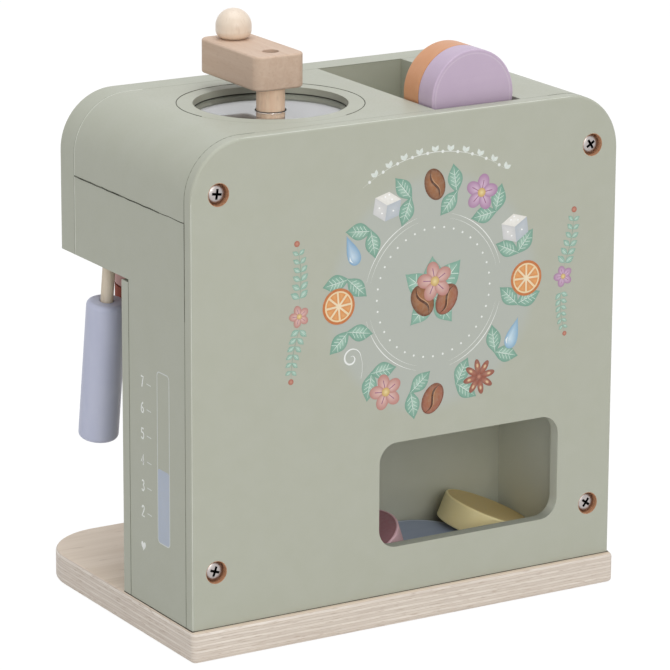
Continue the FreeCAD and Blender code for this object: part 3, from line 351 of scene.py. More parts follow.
def birch_plywood():
    """Clear-lacquered birch plywood with veneer on the faces and plies on the edges."""
    made, tree = empty_material("birch_plywood_clear_lacquer")
    coords = add_node(tree, "ShaderNodeTexCoord").outputs
    place = coords["Object"]
    streaks = stretched_noise(tree, place, (14.0, 480.0, 480.0), 5.0, 0.65, 0.6)
    broad = stretched_noise(tree, place, (5.0, 42.0, 42.0), 3.0, distortion=1.5)
    streak_share = add_node(tree, "ShaderNodeMath", {0: streaks, 1: 0.45}, operation="MULTIPLY")
    figure = add_node(tree, "ShaderNodeMath", {0: broad, 1: 0.55, 2: streak_share},
                      operation="MULTIPLY_ADD")
    veneer = add_node(tree, "ShaderNodeValToRGB", {0: figure})
    set_stops(veneer, [(0.34, "D6C3AE"), (0.64, "E9D9C8")])
    flecks = stretched_noise(tree, place, (70.0, 330.0, 330.0), 1.0)
    veneer_face = colour_over(tree, veneer, "8F6F55", flecks, 0.70, 0.76, 0.22)
    wander = add_node(tree, "ShaderNodeTexNoise", {"Vector": place, "Scale": 26.0, "Detail": 1.0})
    height = add_node(tree, "ShaderNodeSeparateXYZ", {0: place}).outputs[2]
    wavy = add_node(tree, "ShaderNodeMath", {0: wander, 1: PLY_WAVE, 2: height},
                    operation="MULTIPLY_ADD")
    ply = add_node(tree, "ShaderNodeMath", {0: wavy, 1: 1 / TWO_PLIES}, operation="MULTIPLY")
    part_of_ply = add_node(tree, "ShaderNodeMath", {0: ply}, operation="FRACT")
    plies = add_node(tree, "ShaderNodeValToRGB", {0: part_of_ply})
    set_stops(plies, PLY_COLOURS)
    layers = stretched_noise(tree, place, (30.0, 30.0, 900.0), 4.0, 0.7)
    edge_colour = colour_over(tree, plies, "CDBFB3", layers, 0.38, 0.68, 0.75)
    nicks = stretched_noise(tree, place, (150.0, 150.0, 1500.0), 2.0)
    edge_colour = colour_over(tree, edge_colour, "A98F7A", nicks, 0.58, 0.72, 0.5)
    facing = add_node(tree, "ShaderNodeSeparateXYZ", {0: coords["Normal"]}).outputs[2]
    flat = add_node(tree, "ShaderNodeMath", {0: facing}, operation="ABSOLUTE")
    is_face = add_node(tree, "ShaderNodeMapRange", {0: flat, 1: 0.72, 2: 0.88})
    colour = add_node(tree, "ShaderNodeMix", {0: is_face, 6: edge_colour, 7: veneer_face},
                      data_type="RGBA")
    relief = add_node(tree, "ShaderNodeMix", {0: is_face, 2: layers, 3: streaks})
    return surface(made, colour, 0.52, 0.4, relief, 0.25, 0.1 * MM)


plywood = birch_plywood()
print("plywood material with", len(plywood.node_tree.nodes), "nodes")

# %% [markdown]
# The crank, its knob and the dowels are bare beech, fine sanded. Beech is a pale pinkish wood
# with short darker dashes, the rays, 1 to 3 mm long, lying along the grain. The grain runs along
# each stick, so the material takes the direction of the grain and stretches its pattern that way.

# %% Sanded beech
def sanded_beech(name, along, pale, warm, rough=0.56, shine=0.35):
    """Bare sanded beech with its grain along one axis of the piece."""
    made, tree, place = placed_material(name)
    grain = stretched_noise(tree, place, along_grain(along, 22.0, 420.0), 4.0, 0.6, 0.4)
    ground = colour_over(tree, warm, pale, grain, 0.3, 0.7)
    rays = stretched_noise(tree, place, along_grain(along, 260.0, 900.0), 0.0)
    wood_colour = colour_over(tree, ground, "A98467", rays, 0.60, 0.80, 0.14)
    return surface(made, wood_colour, rough, shine, grain, 0.2, 0.08 * MM)


# The upright's beech is paler than the rest: a lit copy of the wood, painted light that makes up for the
# shade the crank's arm casts on the shaft.
beech_upright = sanded_beech("sanded_beech_upright", 2, "FFE2C6", "FAD6B8")
beech_rod = sanded_beech("sanded_beech_rod", 2, "EADDCB", "DFCFB9")
beech_knob = sanded_beech("sanded_beech_knob", 2, "EDDDCB", "EAD8C5", rough=0.3, shine=0.5)
beech_arm = sanded_beech("sanded_beech_arm", 1, "D6BEAA", "CEB29C")
beech_across = sanded_beech("sanded_beech_spindle", 1, "E0C7AC", "D2B294")
print("beech materials:", sum(made.name.startswith("sanded_beech") for made in bpy.data.materials))

# %% [markdown]
# The wand's grip, the group head, the dial and the coffee pads are turned or sawn beech under a
# sprayed water-based colour. Sprayed paint is smoother than rolled paint and sinks a little into
# the grain, so a faint run of fine lines stays, and the light catches it in a satin gloss.

# %% Sprayed colours
def sprayed_paint(name, colour, worn_colour, along=2, gloss=0.42, shine=0.45):
    """Sprayed paint over beech: smooth satin colour with the grain faintly telling."""
    made, tree, place = placed_material(name)
    grain = stretched_noise(tree, place, along_grain(along, 26.0, 300.0), 3.0, 0.55)
    clouds = add_node(tree, "ShaderNodeTexNoise", {"Vector": place, "Scale": 1 / (11 * MM),
                                                   "Detail": 2.0})
    both = add_node(tree, "ShaderNodeMath", {0: grain, 1: clouds}, operation="MULTIPLY")
    tint = colour_over(tree, colour, worn_colour, both, 0.14, 0.38, 0.55)
    return surface(made, tint, gloss, shine, grain, 0.12, 0.06 * MM)


lilac_grip = sprayed_paint("lilac_blue_sprayed_beech", "BDC1D8", "C5C8DC")
pink_wood = sprayed_paint("dusty_pink_sprayed_beech", "BE918C", "C69C96", gloss=0.6, shine=0.2)
brick_wood = sprayed_paint("terracotta_sprayed_beech", "8E4636", "99503F", gloss=0.7, shine=0.12)
lavender_floor = sprayed_paint("lavender_sprayed_card", "58585D", "5F5F64", gloss=0.7, shine=0.2)
PAD_PAINTS = {"lilac": ("C2AEC5", "C8B5CA"), "orange": ("D1956B", "D79E77"),
              "mauve": ("E3BAC3", "E6C1C9"), "blue": ("A3B1CF", "ABB8D4"),
              "yellow": ("F6E6AC", "F8EAB8")}
pad_colours = {f"pad_{shade}": sprayed_paint(f"{shade}_sprayed_pad", *paints, along=0)
               for shade, paints in PAD_PAINTS.items()}
print("sprayed paints:", 4 + len(pad_colours))

# %% [markdown]
# Four more finishes remain. The grinder's lid is a sheet of clear acrylic with polished faces.
# The screws are zinc-plated steel, a soft warm-grey metal, with painted shade in the cross recess.
# Where a drill cuts through the paint the raw fibreboard shows, brown and a little furry. The
# joints between boards are thin shadows, and thin lines of the same kind paint highlights and
# shade along edges.
# The acrylic lets shadow rays pass, because a real clear sheet hardly darkens what is under it.

# %% Acrylic, zinc, raw board, joint shade and painted highlights
def clear_acrylic():
    """Cast acrylic sheet with polished faces."""
    made, tree = empty_material("clear_cast_acrylic")
    rays = add_node(tree, "ShaderNodeLightPath").outputs
    sheet = add_node(tree, "ShaderNodeBsdfPrincipled", {
        "Base Color": linear("FAFBFB"), "Roughness": 0.03, "IOR": 1.49,
        "Specular IOR Level": 0.38, "Transmission Weight": 1.0})
    passing = add_node(tree, "ShaderNodeBsdfTransparent", {"Color": linear("F7F8F8")})
    return close_material(made, add_node(tree, "ShaderNodeMixShader", {
        0: rays["Is Shadow Ray"], 1: sheet, 2: passing}))


def zinc_plate():
    """Zinc-plated steel from the barrel: soft, slightly patchy metal, near-black in the cross recess as
    painted shade.
    """
    made, tree, place = placed_material("zinc_plated_steel")
    patches = add_node(tree, "ShaderNodeTexNoise", {"Vector": place, "Scale": 1 / (1.2 * MM),
                                                    "Detail": 3.0})
    rough = add_node(tree, "ShaderNodeMapRange", {0: patches, 1: 0.3, 2: 0.7, 3: 0.30, 4: 0.46})
    # The recess attribute marks the faces in the cross recess; they get a near-black colour, painted
    # shade where light hardly reaches.
    recess = add_node(tree, "ShaderNodeAttribute", attribute_name="recess", attribute_type="GEOMETRY")
    plated = add_node(tree, "ShaderNodeMix", {0: recess.outputs["Fac"], 6: linear("B4AEAC"),
                                              7: linear("1E1B1A")}, data_type="RGBA")
    return close_material(made, add_node(tree, "ShaderNodeBsdfPrincipled", {
        "Base Color": plated, "Metallic": 1.0, "Roughness": rough}))


def raw_fibreboard():
    """Fibreboard cut by a drill: warm brown, with fibres drawn at about 0.6 mm so they show."""
    made, tree, place = placed_material("raw_fibreboard_drilled")
    fibres = add_node(tree, "ShaderNodeTexNoise", {"Vector": place, "Scale": 1 / (0.6 * MM),
                                                   "Detail": 4.0, "Roughness": 0.75})
    colour = add_node(tree, "ShaderNodeValToRGB", {0: fibres})
    set_stops(colour, [(0.3, "9C6A4C"), (0.7, "DDAA86")])
    return surface(made, colour, 0.85, 0.2, fibres, 0.5, 0.2 * MM)


def joint_shade_and_highlight(name, colour, most):
    """Colour for thin lines: the dirt and shade in a closed joint, and painted highlights and painted
    shade along edges, broken where paint has filled it.
    """
    made, tree, place = placed_material(name)
    breaks = add_node(tree, "ShaderNodeTexNoise", {"Vector": place, "Scale": 1 / (9 * MM),
                                                   "Detail": 3.0})
    return surface(made, colour_over(tree, colour, "9A9C8E", breaks, 0.35, 0.7, most), 0.9, 0.1)


acrylic = clear_acrylic()
zinc = zinc_plate()
fibreboard = raw_fibreboard()
painted_joint = joint_shade_and_highlight("shadow_in_painted_joint", "6E7064", 0.5)
open_joint = joint_shade_and_highlight("shadow_in_open_joint", "3F4038", 0.5)
# A painted shadow: the shade on the clear sheet along the ring's wall and round the shaft's hole.
sheet_joint = joint_shade_and_highlight("shadow_under_clear_sheet", "2F302E", 0.12)
# A painted highlight: the light that the rounded edge of the menu panel catches.
painted_edge_highlight = joint_shade_and_highlight("painted_highlight_on_panel_edge", "E2E4DB", 0.25)
# A painted highlight: the light line along the front panel's joint.
front_joint_highlight = joint_shade_and_highlight("painted_highlight_on_front_joint", "DDDFD6", 0.25)
# Used for closed joints over the top, and for a painted shade line beside the front joint's painted
# highlight.
faint_joint_and_shade = joint_shade_and_highlight("closed_joint_and_painted_shade", "96988A", 0.6)
foot_joint = joint_shade_and_highlight("shadow_under_body", "453B33", 0.35)
print("other finishes:", acrylic.name, zinc.name, fibreboard.name)

# %% [markdown]
# Every solid that keeps its own shape now gets its finish, and one that isn't in the list is
# sage. The solids are never moved or reshaped here; only what fills their material slots changes.

# %% Give the solids their finishes
FINISHES = {
    "base_plate": plywood, "shaft_bearer": plywood, "menu_panel": menu_sage,
    "tray_partition": bounce_lit_sage, "side_board_right": board_sage, "side_board_left": board_sage,
    "grinder_window": acrylic, "grinder_floor": lavender_floor,
    "crank_shaft": beech_upright, "crank_arm": beech_arm, "crank_knob": beech_knob,
    "wand_rod": beech_rod, "wand_grip": lilac_grip, "wand_pin": zinc,
    "group_head": pink_wood, "portafilter_head": brick_wood, "portafilter_handle": lilac_grip,
    "portafilter_spouts": beech_upright, "portafilter_pivot": zinc,
    "brew_dial": pink_wood, "dial_spindle": beech_across, "dial_retainer": beech_across,
    "menu_screws": zinc, "base_screws": zinc, "bearer_screws": zinc, "group_screws": zinc,
    "crank_screw": zinc, **pad_colours,
}
for node_name, node_object in nodes.items():
    node_object.data.materials.clear()
    node_object.data.materials.append(FINISHES.get(node_name, sage))
print("finished nodes:", len(nodes), "of which sage:", sum(name not in FINISHES for name in nodes))

# %% [markdown]
# New pieces need a few tools: one turns a profile round an axis as a lathe does, one settles a
# piece's modifiers into a plain mesh, and one hands the piece to the body that carries it. Three
# more open a Geometry Nodes tree with its named inputs, close it, and run it on a piece.

# %% Tools for new pieces
def new_piece(name, points, faces, materials=(), edges=()):
    """Link a mesh object made from points and faces or edges."""
    mesh = bpy.data.meshes.new(name)
    mesh.from_pydata([tuple(point) for point in points], edges, faces)
    for material in materials:
        mesh.materials.append(material)
    return link_object(name, mesh)


def turned(name, profile, segments, material):
    """Turn a closed profile of radius and height round Z; radius 0 closes a pole."""
    points, rings, faces = [], [], []
    for radius, height in profile:
        if radius < 1e-9:
            rings.append([len(points)] * segments)
            points.append((0.0, 0.0, height))
            continue
        rings.append(list(range(len(points), len(points) + segments)))
        points += [(*on_circle(radius, step * math.tau / segments), height)
                   for step in range(segments)]
    for low, high in zip(rings, rings[1:] + rings[:1]):
        for step in range(segments):
            following = (step + 1) % segments
            corners = [low[step], low[following], high[following], high[step]]
            corners = list(dict.fromkeys(corners))
            if len(corners) > 2:
                faces.append(corners)
    piece = new_piece(name, points, faces, [material])
    shape = bmesh.new()
    shape.from_mesh(piece.data)
    bmesh.ops.recalc_face_normals(shape, faces=shape.faces)
    shape.to_mesh(piece.data)
    shape.free()
    return piece


def settle(piece):
    """Replace a piece's live modifiers by the plain mesh they make."""
    bpy.context.view_layer.update()
    graph = bpy.context.evaluated_depsgraph_get()
    mesh = bpy.data.meshes.new_from_object(piece.evaluated_get(graph), depsgraph=graph)
    piece.modifiers.clear()
    piece.data = mesh
    return piece


def shade_by_angle(piece, degrees):
    """Smooth the shading except over edges sharper than an angle."""
    piece.data.polygons.foreach_set("use_smooth", [True] * len(piece.data.polygons))
    shape = bmesh.new()
    shape.from_mesh(piece.data)
    limit = math.radians(degrees)
    for edge in shape.edges:
        edge.smooth = len(edge.link_faces) == 2 and edge.calc_face_angle(0.0) < limit
    shape.to_mesh(piece.data)
    shape.free()


def hand_over(piece, body):
    """Let a finished piece ride a body."""
    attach(piece, body)
    print("made", piece.name, "with", len(piece.data.polygons), "faces, riding on", body)
    return piece


def open_tree(name, inputs, output):
    """Start a Geometry Nodes tree; give it and the sockets of its named inputs."""
    tree = bpy.data.node_groups.new(name, "GeometryNodeTree")
    for label, kind in inputs.items():
        tree.interface.new_socket(label, in_out="INPUT", socket_type="NodeSocket" + kind)
    tree.interface.new_socket(output, in_out="OUTPUT", socket_type="NodeSocketGeometry")
    return tree, add_node(tree, "NodeGroupInput").outputs


def close_tree(tree, geometry, finish):
    """End a tree as the export needs it: real geometry with its finish set."""
    real = add_node(tree, "GeometryNodeRealizeInstances", {"Geometry": geometry})
    finished = add_node(tree, "GeometryNodeSetMaterial", {"Geometry": real, "Material": finish})
    add_node(tree, "NodeGroupOutput", {0: finished})
    return tree


def run_tree(piece, tree, values):
    """Run a tree on a piece, its inputs set by their sockets' identifiers, and settle it."""
    live = piece.modifiers.new(tree.name, "NODES")
    live.node_group = tree
    identifiers = {item.name: item.identifier for item in tree.interface.items_tree
                   if item.in_out == "INPUT"}
    for label, value in values.items():
        live[identifiers[label]] = value
    return settle(piece)


print("tools ready")

# %% [markdown]
# Panel screws repeat: four in the menu panel and four under the base. A smaller one holds the
# crank's arm. Each is a pan-head wood screw with a cross recess. One head is turned and has its
# cross cut out with a boolean, and a Geometry Nodes tree then sets a copy on each screw's point,
# each turned by its own angle from a fixed seed, as a hand-driven screw stops anywhere.

# %% Screw head and the tree that repeats it
def tapered_cross(width, reach, low_width, low_reach, top, bottom):
    """Make the tool that cuts a cross recess: two tapered bars."""
    points, faces = [], []
    for swap in (False, True):
        start = len(points)
        for (half_w, half_r, height) in ((low_width, low_reach, bottom), (width, reach, top)):
            for sx, sy in ((-1, -1), (1, -1), (1, 1), (-1, 1)):
                across, along = sx * half_w / 2, sy * half_r / 2
                points.append((along, across, height) if swap else (across, along, height))
        bar = [(0, 3, 2, 1), (4, 5, 6, 7), (0, 1, 5, 4), (1, 2, 6, 5), (2, 3, 7, 6), (3, 0, 4, 7)]
        if swap:
            bar = [tuple(reversed(face)) for face in bar]
        faces += [tuple(start + corner for corner in face) for face in bar]
    return new_piece("cross_cutter", points, faces)


def pan_head(name, radius, height, shank, length):
    """A pan-head screw: domed head with a cross recess over its shank."""
    rim, flat_top = height * 0.38, 0.35
    profile = [(0.0, -length), (shank * 0.2, -length), (shank, -length + 4 * shank), (shank, 0.0),
               (radius * 0.97, 0.0), (radius, rim * 0.25), (radius, rim)]
    for step in range(1, 7):
        out, rise = on_circle(1.0, step / 7 * math.pi / 2)
        profile.append((radius * (flat_top + (1 - flat_top) * out), rim + (height - rim) * rise))
    profile += [(radius * 0.33, height), (0.0, height * 1.01)]
    head = turned(name, profile, 40, zinc)
    cutter = tapered_cross(radius * 0.30, radius * 1.22, radius * 0.16, radius * 0.6, height * 1.3,
                           height * 0.12)
    cut = head.modifiers.new("cross", "BOOLEAN")
    cut.operation = "DIFFERENCE"
    cut.solver = "EXACT"
    cut.use_self = True
    cut.object = cutter
    settle(head)
    bpy.data.objects.remove(cutter)
    shade_by_angle(head, 38.0)
    # Mark the faces inside the cross recess, which the zinc finish paints near-black as painted shade.
    inside = []
    for face in head.data.polygons:
        out = math.hypot(face.center.x, face.center.y) / radius
        slope = max(0.0, (out - flat_top) / (1 - flat_top))
        dome = rim + (height - rim) * math.sqrt(max(0.0, 1 - slope ** 2))
        inside.append(float(0.1 * height < face.center.z < dome - 0.1 * height and out < 0.62))
    head.data.attributes.new("recess", "FLOAT", "FACE").data.foreach_set("value", inside)
    return head


def copies_tree():
    """Geometry Nodes: a copy of one object on each point, turned about its own axis."""
    tree, given = open_tree("copies_on_points", {
        "Points": "Geometry", "Master": "Object", "Facing": "Vector", "Most turn": "Float",
        "Seed": "Int", "Finish": "Material"}, "Copies")
    master = add_node(tree, "GeometryNodeObjectInfo", {"Object": given["Master"]})
    spin = add_node(tree, "FunctionNodeRandomValue", {2: 0.0, 3: given["Most turn"],
                                                      "Seed": given["Seed"]})
    about = add_node(tree, "ShaderNodeCombineXYZ", {2: spin})
    turned_first = add_node(tree, "FunctionNodeEulerToRotation", {0: about})
    facing = add_node(tree, "FunctionNodeEulerToRotation", {0: given["Facing"]})
    whole = add_node(tree, "FunctionNodeRotateRotation", {0: facing, 1: turned_first},
                     rotation_space="LOCAL")
    points = add_node(tree, "GeometryNodeMeshToPoints", {"Mesh": given["Points"]})
    copies = add_node(tree, "GeometryNodeInstanceOnPoints", {
        "Points": points, "Instance": master.outputs["Geometry"], "Rotation": whole})
    return close_tree(tree, copies, given["Finish"])


copies = copies_tree()


def repeat(name, master, points, facing, most_turn, seed, finish, body, replaced=()):
    """Set copies of a master on points with the tree, and hand over one plain mesh."""
    piece = run_tree(new_piece(name, points, []), copies, {
        "Master": master, "Facing": facing, "Most turn": most_turn, "Seed": seed, "Finish": finish})
    for node_name in replaced:
        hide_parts(node_name)
    return hand_over(piece, body)


print("tree", copies.name, "has", len(copies.nodes), "nodes")

# %% Set the screws
FACING_OUT, FACING_DOWN, FACING_UP = (-math.pi / 2, 0, 0), (math.pi, 0, 0), (0, 0, 0)
MOST_TURN = 1.5
SEAT_DEPTH = 4.2 * MM
LOW_INSET, LOW_RISE, TOP_INSET, TOP_DROP = 13.3 * MM, 28.1 * MM, 15.1 * MM, 26.1 * MM
BASE_INSET = 16 * MM
CRANK_HEAD_SEAT = 2.6 * MM
menu_points = [(side * (side_face - inset), menu_face - SEAT_DEPTH, height) for side in (-1, 1)
               for inset, height in ((LOW_INSET, base_top + LOW_RISE), (TOP_INSET, body_top - TOP_DROP))]
base_points = [(side * (side_face - LOW_INSET), row, SEAT_DEPTH) for side in (-1, 1)
               for row in (menu_back - BASE_INSET, low_seam + BASE_INSET)]
crank_x, crank_y, _ = middle_of("crank_screw")
crank_points = [(crank_x, crank_y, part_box("crank_screw")[1].z - CRANK_HEAD_SEAT)]
panel_screw = pan_head("panel_screw_master", 4.95 * MM, 2.6 * MM, 2.0 * MM, 31.8 * MM)
repeat("menu_panel_screws", panel_screw, menu_points, FACING_OUT, MOST_TURN, 11, zinc, "body",
       ["menu_screws"])
repeat("base_plate_screws", panel_screw, base_points, FACING_DOWN, MOST_TURN, 5, zinc, "body",
       ["base_screws"])
crank_head = pan_head("crank_screw_master", 3.8 * MM, 2.4 * MM, 2.0 * MM, 27.8 * MM)
repeat("crank_fixing_screw", crank_head, crank_points, FACING_UP, MOST_TURN, 3, zinc, "crank",
       ["crank_screw"])
for master in (panel_screw, crank_head):
    bpy.data.objects.remove(master)

# %% [markdown]
# The screws sit in wells that a flat drill cut through the paint into the fibreboard. A thin
# lining gives each well its raw brown wall and seat. It is turned once and repeated by the same
# tree as the screws.

# %% Line the screw wells
WELL_DEPTH, WELL_RADIUS, WELL_MOUTH, SCREW_HOLE = 4.15 * MM, 5.72 * MM, 5.5 * MM, 2.15 * MM
LINING, FOOT_ROUND, CLEAR_OF_SEAT = 0.12 * MM, 0.05 * MM, 0.02 * MM
lining = turned("well_lining_master", [
    (SCREW_HOLE, 0.0), (WELL_RADIUS, 0.0), (WELL_RADIUS, WELL_DEPTH), (WELL_MOUTH, WELL_DEPTH),
    (WELL_MOUTH - FOOT_ROUND, LINING), (SCREW_HOLE, LINING)], 48, fibreboard)
shade_by_angle(lining, 40.0)
repeat("menu_well_linings", lining, [(x, y + CLEAR_OF_SEAT, z) for x, y, z in menu_points],
       FACING_OUT, 0.0, 1, fibreboard, "body")
repeat("base_well_linings", lining, [(x, y, z - CLEAR_OF_SEAT) for x, y, z in base_points],
       FACING_DOWN, 0.0, 1, fibreboard, "body")
bpy.data.objects.remove(lining)

# %% [markdown]
# The body is glued up from boards, and the closed joints show as hair lines in the paint. A line
# follows a path, so a second Geometry Nodes tree sweeps a fine round section along each path.
# Each path lies a little under the paint, so only a sliver of the round stands proud and the
# rest is buried in the boards.

# %% Tree that runs a hair line along a path
def hair_line_tree():
    """Geometry Nodes: a fine round line along a path of edges."""
    tree, given = open_tree("hair_line_on_path", {
        "Path": "Geometry", "Line radius": "Float", "Sides": "Int", "Finish": "Material"}, "Line")
    path = add_node(tree, "GeometryNodeMeshToCurve", {0: given["Path"]})
    section = add_node(tree, "GeometryNodeCurvePrimitiveCircle", {
        "Resolution": given["Sides"], "Radius": given["Line radius"]})
    line = add_node(tree, "GeometryNodeCurveToMesh", {"Curve": path, "Profile Curve": section,
                                                      "Fill Caps": True})
    return close_tree(tree, line, given["Finish"])


hair_line = hair_line_tree()


def run_line(name, paths, radius, finish):
    """Run hair lines along one or more open paths on the body; the radius is in millimetres."""
    points, edges = [], []
    for path in paths:
        start = len(points)
        points += path
        edges += [(start + step, start + step + 1) for step in range(len(path) - 1)]
    piece = run_tree(new_piece(name, points, [], edges=edges), hair_line, {
        "Line radius": radius * MM, "Sides": 6, "Finish": finish})
    return hand_over(piece, "body")


print("tree", hair_line.name, "has", len(hair_line.nodes), "nodes")

# %% Joints of the body
CORNER_RADIUS, OVER_CORNER = 29 * MM, 9 * MM
SINK, SEAM_SINK, EDGE_IN = 0.10 * MM, 0.12 * MM, 0.55 * MM
OPENED_LENGTH, SHADE_BESIDE = 48 * MM, 0.6 * MM
WANDER_PER_METRE, SEAM_STEPS, CORNER_STEPS = 1700, 8, 12


def over_the_top(line, foot, sink):
    """The path of a joint that climbs one side, crosses the top and comes down again."""
    side, top = side_face - sink, body_top - sink
    path = [(side, line, foot)]
    for step in range(CORNER_STEPS + 1):
        angle = step / CORNER_STEPS * math.pi / 2
        path.append((side - CORNER_RADIUS * (1 - math.cos(angle)), line,
                     top - CORNER_RADIUS * (1 - math.sin(angle))))
    return path + [(-x, y, z) for x, y, z in reversed(path)]


def split_joint(line, foot):
    """Part a joint's path into its two climbs with the corners, and the stretch over the top."""
    path = over_the_top(line, foot, SINK)
    climb = len(path) // 2
    inward = [(x - math.copysign(OVER_CORNER, x), y, z) for x, y, z in path[climb - 1:climb + 1]]
    return [path[:climb] + inward[:1], inward[1:] + path[climb:]], [inward]


menu_climbs, menu_crossing = split_joint(menu_back, base_top)
front_climbs, front_crossing = split_joint(front_seam, underside)
run_line("menu_panel_joint", menu_climbs, 0.25, painted_joint)
# The front panel's joint is drawn as a light line, a painted highlight where its edge catches the light.
run_line("front_panel_joint", front_climbs, 0.30, front_joint_highlight)
# A painted shade line beside the front joint's painted highlight.
run_line("front_panel_joint_shade", split_joint(front_seam - SHADE_BESIDE, underside)[0], 0.22,
         faint_joint_and_shade)
run_line("joints_over_top", menu_crossing + front_crossing, 0.16, faint_joint_and_shade)
board_seams, dark_stretches, low_joints = [[], [], []], [], []
seam_ends = [front_seam + share * (menu_back - front_seam) for share in (0.0, 0.42, 0.78, 1.0)]
for side in (-1, 1):
    out = side * (side_face - SEAM_SINK)
    for stretch, start, end in zip(board_seams, seam_ends, seam_ends[1:]):
        rows = [start + part * (end - start) / SEAM_STEPS for part in range(SEAM_STEPS + 1)]
        stretch.append([(out, row, leg_seam + SEAM_SINK * math.sin(WANDER_PER_METRE * row))
                        for row in rows])
    dark_stretches.append([(out, menu_back, leg_seam), (out, menu_back, leg_seam - OPENED_LENGTH)])
    low_joints.append([(out, low_seam, base_top), (out, low_seam, underside)])
for number, (stretch, radius) in enumerate(zip(board_seams, (0.42, 0.36, 0.24))):
    run_line(f"board_seam_{number}", stretch, radius, open_joint)
run_line("opened_joints", dark_stretches, 0.33, open_joint)
run_line("low_joints", low_joints, 0.27, painted_joint)
# A painted highlight along the menu panel's rounded edge.
run_line("menu_panel_edge", [over_the_top(menu_face - EDGE_IN, base_top, EDGE_IN)], 0.22, painted_edge_highlight)

# %% [markdown]
# The grinder's ring is let into the top. Its joint shows as a dark line at the back and sides and
# is closed by paint in front. The clear sheet has a shadow where it meets the ring's wall, and
# round the hole that the crank's shaft passes. The body's foot has a line of shade on the base.

# %% Joints of the grinder and the foot
RING_TO_SHEET_EDGE, SHAFT_HOLE = 8.15 * MM, 7.5 * MM
RING_JOINT_FIRST, RING_JOINT_LAST = 112.0, 374.0
RING_JOINT_SINK, SHEET_SHADOW_RISE = 0.06 * MM, 0.1 * MM
HOLE_EDGE_SINK, FOOT_RISE = 0.2 * MM, 0.05 * MM


def round_path(middle, radius, height, count=72, first=0.0, last=360.0):
    """The path of a joint round a circular part, or round some of it."""
    path = []
    for step in range(count + 1):
        x, y = on_circle(radius, math.radians(first + (last - first) * step / count))
        path.append((middle[0] + x, middle[1] + y, height))
    return path


ring_middle = middle_of("grinder_ring")
ring_outer = (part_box("grinder_ring")[1].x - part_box("grinder_ring")[0].x) / 2
sheet_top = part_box("grinder_window")[1].z
run_line("ring_joint", [round_path(ring_middle, ring_outer, body_top - RING_JOINT_SINK,
                                   first=RING_JOINT_FIRST, last=RING_JOINT_LAST)], 0.26, open_joint)
# Painted shadows on the clear sheet: along the ring's wall and round the hole for the crank's shaft.
run_line("sheet_joint", [round_path(ring_middle, ring_outer - RING_TO_SHEET_EDGE,
                                    sheet_top + SHEET_SHADOW_RISE)], 0.24, sheet_joint)
run_line("shaft_hole_edge", [round_path(ring_middle, SHAFT_HOLE, sheet_top - HOLE_EDGE_SINK, 40)], 0.42,
         sheet_joint)
foot_height = base_top + FOOT_RISE
foot = [(side_face, menu_face, foot_height), (-side_face, menu_face, foot_height),
        (-side_face, low_face, foot_height), (side_face, low_face, foot_height)]
run_line("foot_joint", [foot + foot[:1]], 0.30, foot_joint)

# %% [markdown]
# Printing is a film of ink, so it is made as flat shapes on the paint, each a few hundredths of
# a millimetre thick. Every shape is drawn in millimetres on a page, as a fan from its middle to
# its rim or as a stroke of even width, and its colours are kept on its points. One ink material
# reads those colours, so a shape can shade from light to dark as an airbrushed print does.

# %% Ink and a page to print on
LEVEL, FILM = 0.014 * MM, 0.03 * MM


def screen_ink(name):
    """Screen-printing ink: matt film that takes its colour from the points of the print."""
    made, tree, place = placed_material(name)
    pigment = add_node(tree, "ShaderNodeAttribute", attribute_name="ink_colour",
                       attribute_type="GEOMETRY")
    grain = add_node(tree, "ShaderNodeTexNoise", {"Vector": place, "Scale": 1 / (1.6 * MM),
                                                  "Detail": 3.0})
    film = colour_over(tree, pigment.outputs["Color"], "B6B8AB", grain, 0.4, 0.75, 0.16)
    return surface(made, film, 0.48, 0.4)


ink = screen_ink("screen_printed_ink")


